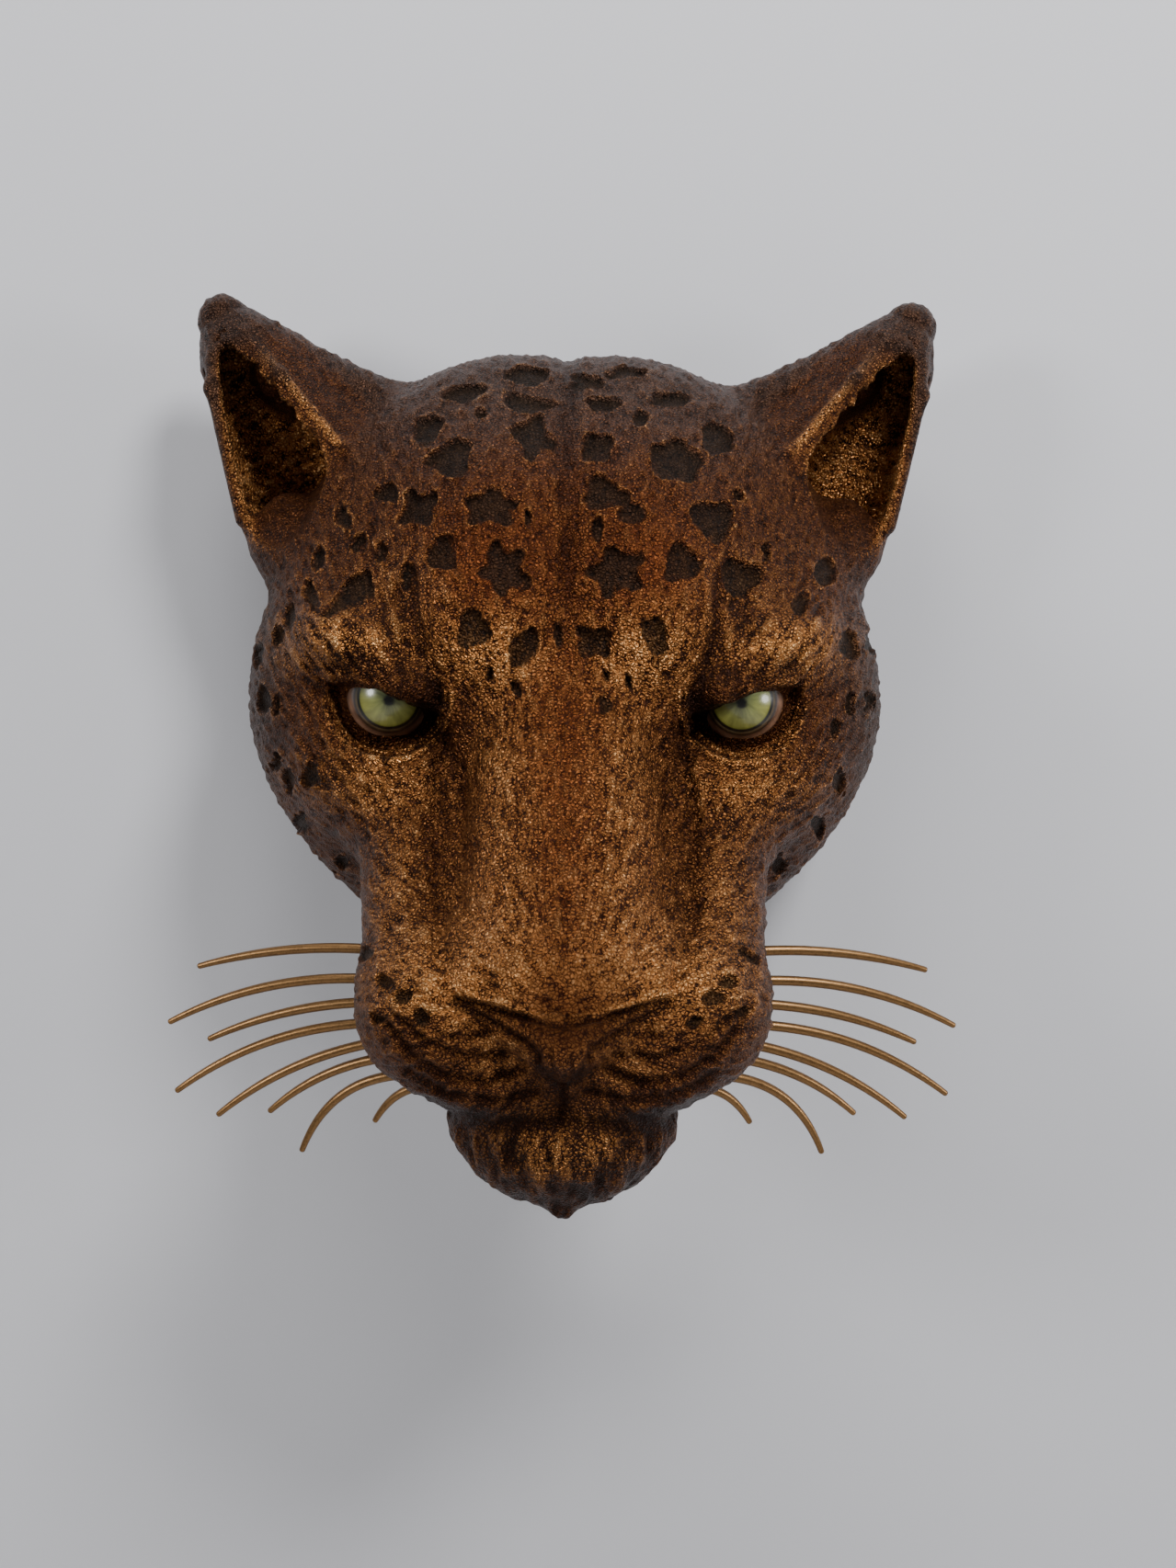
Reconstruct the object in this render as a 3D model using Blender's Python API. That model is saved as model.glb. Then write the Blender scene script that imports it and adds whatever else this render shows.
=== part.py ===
"""Leopard head for a wall: a hollow-eared cast head with a flat back, two glass eyes and
sixteen bent whiskers. The flat back lies on the plane y = 0 with the origin on the head's
midline; the face looks along -Y and +Z is up.

The head is one solid. Its forms are bone and muscle masses with stated centres and radii,
blended into one surface, meshed on a grid, thinned, and then cut by exact tools for the
flat back, the eye sockets and the whisker holes."""

from collections import namedtuple

import bmesh
import bpy
import numpy as np
from mathutils import Matrix, Vector

NAME = "leopard_head"
MM = 0.001

# Sizes below are millimetres: x from the midline to the side, f forward from the wall, z up.
# A form has a centre, three radii and turns in degrees: pitch tips its front down,
# yaw swings its front outwards, roll lifts its outer end.
Form = namedtuple("Form", "at r pitch yaw roll", defaults=(0.0, 0.0, 0.0))
# A rod runs from one point to another with a radius at each.
Rod = namedtuple("Rod", "start end r0 r1 belly", defaults=(1.0,))

SKULL = Form((17, 42, 36), (93, 70, 122))
SKULL_LOW = 101
CHEEK = Form((58, 48, 29), (50, 54, 48))
FOREHEAD = Form((20, 76, 68), (36, 41, 52))
BROW_BOSS = Form((30, 96, 51), (24, 23, 25), roll=-8)
BROW_RIDGE = Form((69, 92, 46), (26, 22, 14), yaw=28, roll=20)
CHEEKBONE = Form((65, 88, 1), (26, 21, 19), yaw=28, roll=20)
MUZZLE_SIDE = Rod((48, 88, -4), (41, 128, -58), 22, 22)
BRIDGE = Rod((0, 82, 49), (0, 155, -59), 21, 20)
BRIDGE_FLAT = 14
WHISKER_PAD = Form((33, 132, -71), (31, 37, 27), yaw=14, roll=6)
MUZZLE_FRONT = Form((0, 138, -80), (40, 32, 20))
JAW = Form((0, 76, -56), (47, 76, 40), pitch=15)
CHIN = Form((0, 134, -101), (36, 27, 30))
CHIN_TUFT = Rod((0, 136, -117), (0, 140, -131), 15, 3.5)
FURROW_TOP = Rod((52, 121, 72), (50.5, 123, 48), 2, 3.4)
FURROW_FOOT = Rod((50.5, 123, 48), (42, 122, 24), 3.4, 3.4)

EAR_ROOT = Rod((54, 36, 130), (104, 38, 153), 14, 13)
EAR = Rod((86, 38, 103), (129, 40, 173.5), 36, 8.5, 0.60)
EAR_FACING = (0.42, 0.85, -0.31)
EAR_HOLLOW_SHIFT = (12.5, 5.5)
EAR_HOLLOW_R = (27.5, 3.0)
EAR_RIM = 10.0
EAR_FOLD = Form((96, 45, 84), (15, 17, 24), roll=-25)

EYE = (59.3, 97.0, 28.5)
EYE_R = 14.5
EYE_HOLLOW = Form((59.5, 108, 26.5), (20.5, 17, 19))
EYE_CORNER = Rod((50, 106, 18), (40.5, 112, 13), 5.5, 2.2)
LID_TOP = 32.6
LID_FALL = 0.33
UPPER_LID = (Rod((82, 95, 38), (66, 105, 37.5), 4, 5), Rod((66, 105, 37.5), (50, 113, 31), 5, 5.5))

NOSE_WING = Rod((4, 171, -74), (26, 160, -67), 8.5, 5)
NOSE_STEM = Rod((0, 171, -76), (0, 160, -90), 9, 5.5)
LIP = Form((20, 147, -90), (26, 18, 13), roll=8)
NOSTRIL = Rod((11, 180, -79), (25, 169, -71), 3.2, 1.8)
CLEFT = Rod((0, 174, -92), (0, 164, -106), 1.6, 2.6)

# Whiskers of one side, from the top: height and depth of the root, side and height of the
# tip, and how far the middle arches above the straight line.
Whisker = namedtuple("Whisker", "root_z root_f tip_x tip_z arch")
WHISKERS = (
    Whisker(-53.4, 120, 118.8, -60.3, 2.2),
    Whisker(-62.7, 122, 127.7, -78.2, 4.2),
    Whisker(-70.1, 123, 114.6, -83.5, 2.5),
    Whisker(-76.7, 123, 125.0, -100.3, 5.0),
    Whisker(-82.7, 123, 111.6, -108.0, 3.7),
    Whisker(-87.4, 123, 94.9, -106.8, 3.2),
    Whisker(-93.1, 122, 84.7, -119.7, 4.5),
    Whisker(-98.2, 122, 60.4, -108.0, 1.8),
)
WHISKER_ROOT_R = 1.6
WHISKER_TIP_R = 0.8
WHISKER_BURIED = 4.0
WHISKER_SWEEP = 10.0
WHISKER_STEPS = 7
HOLE_SIDES = 8

GAP = 0.3
GRID = 2.8
GRID_LOW = (-145.6, -10.0, -140.0)
GRID_HIGH = (145.6, 190.0, 190.0)
BACK_STOCK = 6.0
HEAD_FACES = 5600


def smin(a, b, k):
    """Union of two fields with a fillet of about k."""
    h = np.maximum(k - np.abs(a - b), 0.0) / k
    return np.minimum(a, b) - h * h * k * 0.25


def smax(a, b, k):
    """Intersection of two fields with a fillet of about k."""
    return -smin(-a, -b, k)


def turned(x, f, z, form):
    """Coordinates in the form's own frame."""
    x = x - form.at[0]
    f = f - form.at[1]
    z = z - form.at[2]
    s, q = np.sin(np.radians(form.roll)), np.cos(np.radians(form.roll))
    x, z = q * x + s * z, -s * x + q * z
    s, q = np.sin(np.radians(form.yaw)), np.cos(np.radians(form.yaw))
    x, f = q * x - s * f, s * x + q * f
    s, q = np.sin(np.radians(form.pitch)), np.cos(np.radians(form.pitch))
    f, z = q * f - s * z, s * f + q * z
    return x, f, z


def mass(x, f, z, form):
    """Distance, near enough, to a turned ellipsoid."""
    px, pf, pz = turned(x, f, z, form)
    rx, rf, rz = form.r
    k0 = np.sqrt((px / rx) ** 2 + (pf / rf) ** 2 + (pz / rz) ** 2)
    k1 = np.sqrt((px / rx ** 2) ** 2 + (pf / rf ** 2) ** 2 + (pz / rz ** 2) ** 2)
    return k0 * (k0 - 1.0) / np.maximum(k1, 1e-6)


def bar(x, f, z, rod):
    """Distance, near enough, to a rod whose radius changes along it."""
    a = np.array(rod.start, dtype=float)
    along = np.array(rod.end, dtype=float) - a
    t = ((x - a[0]) * along[0] + (f - a[1]) * along[1] + (z - a[2]) * along[2]) / (along @ along)
    t = np.clip(t, 0.0, 1.0)
    px, pf, pz = x - a[0] - t * along[0], f - a[1] - t * along[1], z - a[2] - t * along[2]
    return np.sqrt(px * px + pf * pf + pz * pz) - (rod.r1 + (rod.r0 - rod.r1) * (1.0 - t) ** rod.belly)


def lid_line(x):
    """Height of the upper lid's edge: level at the outer end, falling to the nose."""
    return LID_TOP - LID_FALL * np.maximum(70.0 - x, 0.0)


def ear(x, f, z):
    """A tall pointed cup, open forwards and outwards, with the small fold at its foot."""
    shifted = [tuple(p + s * n for p, n in zip(point, EAR_FACING))
               for point, s in zip((EAR.start, EAR.end), EAR_HOLLOW_SHIFT)]
    hollow = bar(x, f, z, Rod(shifted[0], shifted[1], EAR_HOLLOW_R[0], EAR_HOLLOW_R[1], EAR.belly))
    cup = smax(bar(x, f, z, EAR), -hollow, EAR_RIM)
    return smin(cup, mass(x, f, z, EAR_FOLD), 10)


def nose(x, f, z, d):
    """Nose pad, upper lips, nostril slits and the cleft below the nose."""
    pad = smin(bar(x, f, z, NOSE_WING), bar(x, f, z, NOSE_STEM), 5)
    d = smin(d, pad, 2.5)
    d = smin(d, mass(x, f, z, LIP), 5)
    d = smax(d, -bar(x, f, z, NOSTRIL), 3)
    return smax(d, -bar(x, f, z, CLEFT), 3)


def head_field(x, f, z):
    """Distance to the head's surface, negative inside; both sides are alike."""
    x = np.sqrt(x * x + 4.0)
    skull_z = np.where(z < SKULL.at[2], SKULL.at[2] + (z - SKULL.at[2]) * SKULL.r[2] / SKULL_LOW, z)
    d = mass(x, f, skull_z, SKULL)
    d = smin(d, mass(x, f, z, CHEEK), 26)
    d = smin(d, mass(x, f, z, FOREHEAD), 22)
    d = smin(d, mass(x, f, z, BROW_BOSS), 12)
    d = smin(d, mass(x, f, z, BROW_RIDGE), 8)
    d = smin(d, mass(x, f, z, CHEEKBONE), 14)
    d = smin(d, bar(x, f, z, MUZZLE_SIDE), 16)
    d = smin(d, bar(x * x / (x + BRIDGE_FLAT), f, z, BRIDGE), 10)
    d = smin(d, mass(x, f, z, WHISKER_PAD), 10)
    d = smin(d, mass(x, f, z, MUZZLE_FRONT), 10)
    d = smin(d, mass(x, f, z, JAW), 18)
    d = smin(d, mass(x, f, z, CHIN), 4)
    d = smin(d, bar(x, f, z, CHIN_TUFT), 6)
    d = smax(d, -np.minimum(bar(x, f, z, FURROW_TOP), bar(x, f, z, FURROW_FOOT)), 8)
    d = smin(d, bar(x, f, z, EAR_ROOT), 12)
    d = smin(d, ear(x, f, z), 8)
    d = smin(d, np.minimum(bar(x, f, z, UPPER_LID[0]), bar(x, f, z, UPPER_LID[1])), 7)
    hollow = smax(mass(x, f, z, EYE_HOLLOW), z - lid_line(x), 1.0)
    d = smax(d, -hollow, 2.0)
    d = smax(d, -bar(x, f, z, EYE_CORNER), 3)
    return nose(x, f, z, d)


def stock_field(x, f, z):
    """The head with some stock behind the wall plane, for the flat cut."""
    return np.maximum(head_field(x, f, z), -BACK_STOCK - f)


def skin(field, low, high, step):
    """Mesh a field: a point in each grid cell that the surface passes and a quad round each
    grid edge that it crosses."""
    axes = [np.arange(low[i], high[i] + step / 2, step) for i in range(3)]
    grid = np.stack(np.meshgrid(*axes, indexing="ij"), axis=-1)
    d = field(grid[..., 0], grid[..., 1], grid[..., 2])
    cells = tuple(n - 1 for n in d.shape)
    count = np.zeros(cells)
    total = np.zeros(cells + (3,))
    crossings = []
    for axis in range(3):
        u, v = (axis + 1) % 3, (axis + 2) % 3
        near, far = [slice(None)] * 3, [slice(None)] * 3
        near[axis], far[axis] = slice(None, -1), slice(1, None)
        a, b = d[tuple(near)], d[tuple(far)]
        crossed = (a < 0.0) != (b < 0.0)
        points = grid[tuple(near)].copy()
        points[..., axis] += step * np.where(crossed, a / np.where(crossed, a - b, 1.0), 0.0)
        points *= crossed[..., None]
        for du in (0, 1):
            for dv in (0, 1):
                part = [slice(None)] * 3
                part[u], part[v] = slice(du, du + cells[u]), slice(dv, dv + cells[v])
                count += crossed[tuple(part)]
                total += points[tuple(part)]
        crossings.append((crossed, a < 0.0))
    index = np.full(cells, -1)
    used = count > 0
    index[used] = np.arange(used.sum())
    verts = total[used] / count[used][:, None]
    quads = []
    for axis, (crossed, inward) in enumerate(crossings):
        u, v = (axis + 1) % 3, (axis + 2) % 3
        hits = np.argwhere(crossed)
        inner = (hits[:, u] > 0) & (hits[:, u] < cells[u]) & (hits[:, v] > 0) & (hits[:, v] < cells[v])
        hits = hits[inner]
        corners = []
        for du, dv in ((1, 1), (0, 1), (0, 0), (1, 0)):
            at = hits.copy()
            at[:, u] -= du
            at[:, v] -= dv
            corners.append(index[tuple(at.T)])
        ring = np.stack(corners, axis=1)
        turn = inward[tuple(hits.T)]
        quads.append(np.where(turn[:, None], ring[:, ::-1], ring))
    return verts, np.concatenate(quads)


def settle(field, points, rounds):
    """Move points straight onto the field's surface."""
    h = 0.05
    for _ in range(rounds):
        x, f, z = points.T
        d = field(x, f, z)
        slope = np.stack([
            field(x + h, f, z) - field(x - h, f, z),
            field(x, f + h, z) - field(x, f - h, z),
            field(x, f, z + h) - field(x, f, z - h)], axis=1) / (2.0 * h)
        steep = np.maximum((slope * slope).sum(axis=1), 0.2)
        move = np.clip(d / steep, -GRID / 3, GRID / 3)
        points = points - slope * move[:, None]
    return points


def placed(points):
    """Millimetres (x, f, z) to metres with the face along -Y."""
    return np.stack([points[:, 0], -points[:, 1], points[:, 2]], axis=1) * MM


def collection(name):
    group = bpy.data.collections.new(name)
    bpy.context.scene.collection.children.link(group)
    return group


def material(name, colour, metallic, roughness):
    mat = bpy.data.materials.new(name)
    mat.use_nodes = True
    shader = mat.node_tree.nodes["Principled BSDF"]
    shader.inputs["Base Color"].default_value = (*colour, 1.0)
    shader.inputs["Metallic"].default_value = metallic
    shader.inputs["Roughness"].default_value = roughness
    mat.diffuse_color = (*colour, 1.0)
    return mat


def placed_object(name, data, group, mat=None, location=(0.0, 0.0, 0.0)):
    obj = bpy.data.objects.new(name, data)
    obj.location = location
    group.objects.link(obj)
    if mat is not None:
        data.materials.append(mat)
    return obj


def mesh_from(name, bm, smooth=True):
    """A mesh with its faces turned outwards."""
    bmesh.ops.recalc_face_normals(bm, faces=bm.faces)
    mesh = bpy.data.meshes.new(name)
    bm.to_mesh(mesh)
    bm.free()
    if smooth:
        mesh.shade_smooth()
    return mesh


def head_mesh():
    """The cast's surface at full fineness, with stock behind the wall plane."""
    verts, quads = skin(stock_field, GRID_LOW, GRID_HIGH, GRID)
    verts = placed(settle(stock_field, verts, 3))
    rough = bpy.data.meshes.new("head_rough")
    rough.from_pydata(verts.tolist(), [], quads.tolist())
    bm = bmesh.new()
    bm.from_mesh(rough)
    bpy.data.meshes.remove(rough)
    return mesh_from("head", bm)


def ball_mesh(name, radius):
    bm = bmesh.new()
    bmesh.ops.create_uvsphere(bm, u_segments=20, v_segments=12, radius=radius * MM)
    return mesh_from(name, bm)


def whisker_path(whisker, sign):
    """Middle line of a whisker: in its hole, out through the skin, and on to the tip."""
    z, f = whisker.root_z, whisker.root_f
    near, far = 20.0, 110.0
    for _ in range(40):
        middle = (near + far) / 2.0
        if head_field(np.array([middle]), np.array([float(f)]), np.array([z]))[0] < 0.0:
            near = middle
        else:
            far = middle
    root = np.array([near, f, z])
    tip = np.array([whisker.tip_x, f - WHISKER_SWEEP, whisker.tip_z])
    run = tip - root
    up = np.array([-run[2], 0.0, run[0]]) / np.hypot(run[0], run[2])
    t = np.linspace(0.0, 1.0, WHISKER_STEPS)[:, None]
    path = root + run * t + up * whisker.arch * 4.0 * t * (1.0 - t)
    start = path[0] - path[1]
    buried = root + start / np.linalg.norm(start) * WHISKER_BURIED
    return placed(np.vstack([buried, path]) * (sign, 1.0, 1.0))


def whisker_mesh(name, path):
    """A bevelled curve along the path, evenly tapered, turned into a closed mesh."""
    curve = bpy.data.curves.new(name, "CURVE")
    curve.dimensions = "3D"
    curve.bevel_depth = WHISKER_ROOT_R * MM
    curve.bevel_resolution = 1
    curve.use_fill_caps = True
    spline = curve.splines.new("POLY")
    last = Vector(path[-1] - path[-2]).normalized()
    nub = Vector(path[-1]) + last * WHISKER_TIP_R * 0.6 * MM
    points = [Vector(p) for p in path] + [nub]
    spline.points.add(len(points) - 1)
    slim = WHISKER_TIP_R / WHISKER_ROOT_R
    for i, (knot, point) in enumerate(zip(spline.points, points)):
        along = max(i - 1, 0) / WHISKER_STEPS
        knot.co = (*point, 1.0)
        knot.radius = 1.0 + (slim - 1.0) * along
    spline.points[-1].radius = slim * 0.5
    guide = placed_object(name + "_guide", curve, bpy.context.scene.collection)
    bpy.context.view_layer.update()
    shape = guide.evaluated_get(bpy.context.evaluated_depsgraph_get())
    bm = bmesh.new()
    bm.from_mesh(shape.to_mesh())
    bmesh.ops.remove_doubles(bm, verts=bm.verts, dist=0.00002)
    bpy.data.objects.remove(guide)
    return mesh_from(name, bm)


def hole_mesh(paths):
    """Blind holes round the whiskers' roots, a gap wider and deeper than the rods."""
    bm = bmesh.new()
    wide = (WHISKER_ROOT_R + GAP) * MM / np.cos(np.pi / HOLE_SIDES)
    for path in paths:
        outward = Vector(path[1] - path[0]).normalized()
        start = Vector(path[0]) - outward * GAP * MM
        deep = (WHISKER_BURIED + GAP + 6.0) * MM
        turn = outward.to_track_quat("Z", "Y").to_matrix().to_4x4()
        bmesh.ops.create_cone(
            bm, cap_ends=True, segments=HOLE_SIDES, radius1=wide, radius2=wide, depth=deep,
            matrix=Matrix.Translation(start + outward * deep / 2.0) @ turn)
    return mesh_from("whisker_holes", bm, smooth=False)


def cut(obj, name, mesh, group, location=(0.0, 0.0, 0.0)):
    """Take a cutter's shape out of an object."""
    cutter = placed_object(name, mesh, group, None, location)
    cutter.hide_render = True
    cutter.display_type = "WIRE"
    step = obj.modifiers.new(name, "BOOLEAN")
    step.operation = "DIFFERENCE"
    step.solver = "EXACT"
    step.object = cutter


def main():
    for old in list(bpy.data.objects):
        bpy.data.objects.remove(old, do_unlink=True)
    parts = collection(NAME)
    cutters = collection(NAME + "_cutters")
    bronze = material("bronze patina", (0.16, 0.085, 0.04), 0.75, 0.42)
    rod_bronze = material("whisker bronze", (0.24, 0.14, 0.07), 0.8, 0.38)
    glass = material("eye glass", (0.42, 0.47, 0.16), 0.0, 0.08)

    head = placed_object("head", head_mesh(), parts, bronze)
    thin = head.modifiers.new("facets", "DECIMATE")
    thin.ratio = HEAD_FACES / (2.0 * len(head.data.polygons))

    block = bmesh.new()
    bmesh.ops.create_cube(block, size=1.0, matrix=Matrix.Diagonal((0.4, 0.05, 0.5, 1.0)))
    cut(head, "wall_side", mesh_from("wall_side", block, smooth=False), cutters, (0.0, 0.025, 0.0))

    for side, sign in (("left", -1.0), ("right", 1.0)):
        centre = (sign * EYE[0] * MM, -EYE[1] * MM, EYE[2] * MM)
        placed_object("eye_" + side, ball_mesh("eye_" + side, EYE_R), parts, glass, centre)
        cut(head, "socket_" + side, ball_mesh("socket_" + side, EYE_R + GAP), cutters, centre)

    paths = []
    for side, sign in (("left", -1.0), ("right", 1.0)):
        for number, whisker in enumerate(WHISKERS, start=1):
            name = f"whisker_{side}_{number}"
            paths.append(whisker_path(whisker, sign))
            placed_object(name, whisker_mesh(name, paths[-1]), parts, rod_bronze)
    cut(head, "whisker_holes", hole_mesh(paths), cutters)


main()
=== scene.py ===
"""Dresses a wall-hung leopard head: cast fur relief, spots, patina, glass eyes and whiskers.

Sizes in the clay section are millimetres: x from the midline to the side, f forward from
the wall, z up. Blender's own sizes are metres, with the face along -Y."""
import math
from collections import namedtuple

import bmesh
import bpy
import numpy as np
from bpy.props import FloatProperty, FloatVectorProperty, IntProperty, PointerProperty
from mathutils import Matrix, Vector


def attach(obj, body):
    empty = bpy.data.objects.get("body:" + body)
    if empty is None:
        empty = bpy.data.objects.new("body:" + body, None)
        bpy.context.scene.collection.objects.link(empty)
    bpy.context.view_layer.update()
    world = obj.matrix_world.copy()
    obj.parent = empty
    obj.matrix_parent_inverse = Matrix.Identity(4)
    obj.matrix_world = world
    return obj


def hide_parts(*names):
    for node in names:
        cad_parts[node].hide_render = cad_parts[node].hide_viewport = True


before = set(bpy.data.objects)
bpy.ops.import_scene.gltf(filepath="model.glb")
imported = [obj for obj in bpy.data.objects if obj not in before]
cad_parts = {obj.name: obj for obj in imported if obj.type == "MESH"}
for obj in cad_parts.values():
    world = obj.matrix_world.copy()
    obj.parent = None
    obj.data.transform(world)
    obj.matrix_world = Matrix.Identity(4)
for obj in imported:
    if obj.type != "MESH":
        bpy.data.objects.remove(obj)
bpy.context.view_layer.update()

bl_info = {
    "name": "Leopard Head",
    "version": (1, 0, 0),
    "blender": (4, 5, 0),
    "location": "3D View > Sidebar > Leopard",
    "description": "Fur, spots, bronze patina, eyes and whiskers of a wall-hung leopard head",
    "category": "Object",
}

MM = 0.001
# The camera's distance from the wall and the depth at which the front drawing is measured.
VIEW = 610.0
EYE_PLANE = 97.0
# Where the fur is combed away from: the muzzle's tip, and the chin's root for the tuft.
MUZZLE_TIP = (0.0, 184.0, -66.0)
CHIN_ROOT = (0.0, 128.0, -80.0)
# The box that the random tables cover.
GRAIN_LOW = np.array((-160.0, -20.0, -155.0))
GRAIN_SPAN = np.array((320.0, 225.0, 355.0))

# The clay: the same masses as in the solid, with slimmer ears and closer lids.
Form = namedtuple("Form", "at r pitch yaw roll", defaults=(0.0, 0.0, 0.0))
Rod = namedtuple("Rod", "start end r0 r1 belly", defaults=(1.0,))
SKULL = Form((17, 42, 36), (93, 70, 122))
SKULL_LOW = 101
CHEEK = Form((58, 48, 29), (50, 54, 48))
FOREHEAD = Form((20, 76, 68), (36, 41, 52))
BROW_BOSS = Form((30, 96, 51), (24, 23, 25), roll=-8)
BROW_RIDGE = Form((69, 92, 46), (26, 22, 14), yaw=28, roll=20)
CHEEKBONE = Form((65, 88, 1), (26, 21, 19), yaw=28, roll=20)
MUZZLE_SIDE = Rod((48, 88, -4), (41, 128, -58), 22, 22)
BRIDGE = Rod((0, 82, 49), (0, 155, -59), 21, 20)
BRIDGE_FLAT = 14
WHISKER_PAD = Form((33, 132, -71), (31, 37, 27), yaw=14, roll=6)
MUZZLE_FRONT = Form((0, 138, -80), (40, 32, 20))
JAW = Form((0, 76, -56), (47, 76, 40), pitch=15)
CHIN = Form((0, 134, -101), (36, 27, 30))
CHIN_TUFT = Rod((0, 136, -117), (0, 140, -131), 15, 3.5)
UPPER_MASSES = ((CHEEK, 26), (FOREHEAD, 22), (BROW_BOSS, 12), (BROW_RIDGE, 8), (CHEEKBONE, 14))
LOWER_MASSES = ((WHISKER_PAD, 10), (MUZZLE_FRONT, 10), (JAW, 18), (CHIN, 4))
MIDLINE_SOFT = 4.0
FURROW_TOP = Rod((52, 121, 72), (50.5, 123, 48), 2, 3.4)
FURROW_FOOT = Rod((50.5, 123, 48), (42, 122, 24), 3.4, 3.4)

EAR_ROOT = Rod((54, 36, 130), (104, 38, 153), 14, 13)
EAR = Rod((86, 38, 103), (128, 39.8, 171.2), 36, 7.6, 0.68)
EAR_TIP = Rod((121.7, 39.5, 161), (128, 39.8, 171.2), 15.2, 8.0)
EAR_RIMS = (
    Rod((122, 48.5, 168), (103, 62.5, 147), 0.8, 1.0),
    Rod((103, 62.5, 147), (80, 70, 118.5), 1.0, 1.2),
    Rod((129.2, 48, 165), (129.4, 53.5, 143), 2.0, 2.2),
    Rod((129.4, 53.5, 143), (119, 50, 96), 2.2, 2.2),
)
EAR_TIP_FILLET, EAR_RIM_FILLET = 8.0, 4.0
EAR_HOLLOW_END = 0.94
EAR_FACING = (0.42, 0.85, -0.31)
EAR_HOLLOW_SHIFT = (14.5, 6.5)
EAR_HOLLOW_R = (25.8, 2.6)
EAR_RIM = 4.0
EAR_LINING = 2.6
EAR_FOLD = Form((96, 45, 84), (15, 17, 24), roll=-25)

EYE = (59.3, 97.0, 28.5)
EYE_R = 14.5
EYE_HOLLOW = Form((59.5, 108, 26.5), (20.5, 17, 19))
EYE_CORNER = Rod((50, 106, 18), (40.5, 112, 13), 5.5, 2.2)
LID_SHELL = Form((59.3, 91.0, 28.3), (17.8, 17.8, 17.8))
LID_TOP = 32.6
LID_FALL = 0.33
LID_FALL_START = 70.0
UPPER_LID = (
    Rod((82, 95, 38), (66, 105, 37.5), 4, 5),
    Rod((66, 105, 37.5), (50, 113, 31), 5, 5.5),
)

NOSE_WING = Rod((4, 171, -74), (26, 160, -67), 8.5, 5)
NOSE_STEM = Rod((0, 171, -76), (0, 160, -90), 9, 5.5)
LIP = Form((20, 147, -90), (26, 18, 13), roll=8)
NOSTRIL = Rod((11, 180, -79), (25, 169, -71), 3.2, 1.8)
CLEFT = Rod((0, 174, -92), (0, 164, -106), 1.6, 2.6)

# Whiskers of one side, from the top: height and depth of the root, side and height of the
# tip, and how far the middle arches above the straight line.
Whisker = namedtuple("Whisker", "root_z root_f tip_x tip_z arch")
WHISKERS = [Whisker(*row) for row in (
    (-53.4, 120, 118.8, -60.3, 2.2),
    (-62.7, 122, 127.7, -78.2, 4.2),
    (-70.1, 123, 114.6, -83.5, 2.5),
    (-76.7, 123, 125.0, -100.3, 5.0),
    (-82.7, 123, 111.6, -108.0, 3.7),
    (-87.4, 123, 94.9, -106.8, 3.2),
    (-93.1, 122, 84.7, -119.7, 7.5),
    (-98.2, 122, 61.0, -110.0, 5.5),
)]
WHISKER_BURIED = 3.2
WHISKER_SWEEP = 10.0
SIDES = (("left", -1.0), ("right", 1.0))


def smin(a, b, k):
    """Union of two fields with a fillet of about k."""
    h = np.maximum(k - np.abs(a - b), 0.0) / k
    return np.minimum(a, b) - h * h * k * 0.25


def smax(a, b, k):
    """Intersection of two fields with a fillet of about k."""
    return -smin(-a, -b, k)


def turned(x, f, z, form):
    """Coordinates in the form's own frame."""
    x = x - form.at[0]
    f = f - form.at[1]
    z = z - form.at[2]
    s, q = np.sin(np.radians(form.roll)), np.cos(np.radians(form.roll))
    x, z = q * x + s * z, -s * x + q * z
    s, q = np.sin(np.radians(form.yaw)), np.cos(np.radians(form.yaw))
    x, f = q * x - s * f, s * x + q * f
    s, q = np.sin(np.radians(form.pitch)), np.cos(np.radians(form.pitch))
    f, z = q * f - s * z, s * f + q * z
    return x, f, z


def mass(x, f, z, form):
    """Distance, near enough, to a turned ellipsoid."""
    px, pf, pz = turned(x, f, z, form)
    rx, rf, rz = form.r
    k0 = np.sqrt((px / rx) ** 2 + (pf / rf) ** 2 + (pz / rz) ** 2)
    k1 = np.sqrt((px / rx ** 2) ** 2 + (pf / rf ** 2) ** 2 + (pz / rz ** 2) ** 2)
    return k0 * (k0 - 1.0) / np.maximum(k1, 1e-6)


def bar(x, f, z, rod):
    """Distance, near enough, to a rod whose radius changes along it."""
    a = np.array(rod.start, dtype=float)
    along = np.array(rod.end, dtype=float) - a
    t = ((x - a[0]) * along[0] + (f - a[1]) * along[1] + (z - a[2]) * along[2]) / (along @ along)
    t = np.clip(t, 0.0, 1.0)
    px, pf, pz = x - a[0] - t * along[0], f - a[1] - t * along[1], z - a[2] - t * along[2]
    radius = rod.r1 + (rod.r0 - rod.r1) * (1.0 - t) ** rod.belly
    return np.sqrt(px * px + pf * pf + pz * pz) - radius


def lid_line(x):
    """Height of the upper lid's edge: level at the outer end, falling to the nose."""
    return LID_TOP - LID_FALL * np.maximum(LID_FALL_START - x, 0.0)


def ear_hollow(x, f, z):
    """Distance to the hollow of the ear cup."""
    end = [a + EAR_HOLLOW_END * (b - a) for a, b in zip(EAR.start, EAR.end)]
    shifted = [tuple(p + s * n for p, n in zip(point, EAR_FACING))
               for point, s in zip((EAR.start, end), EAR_HOLLOW_SHIFT)]
    return bar(x, f, z, Rod(*shifted, *EAR_HOLLOW_R, EAR.belly))


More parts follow.
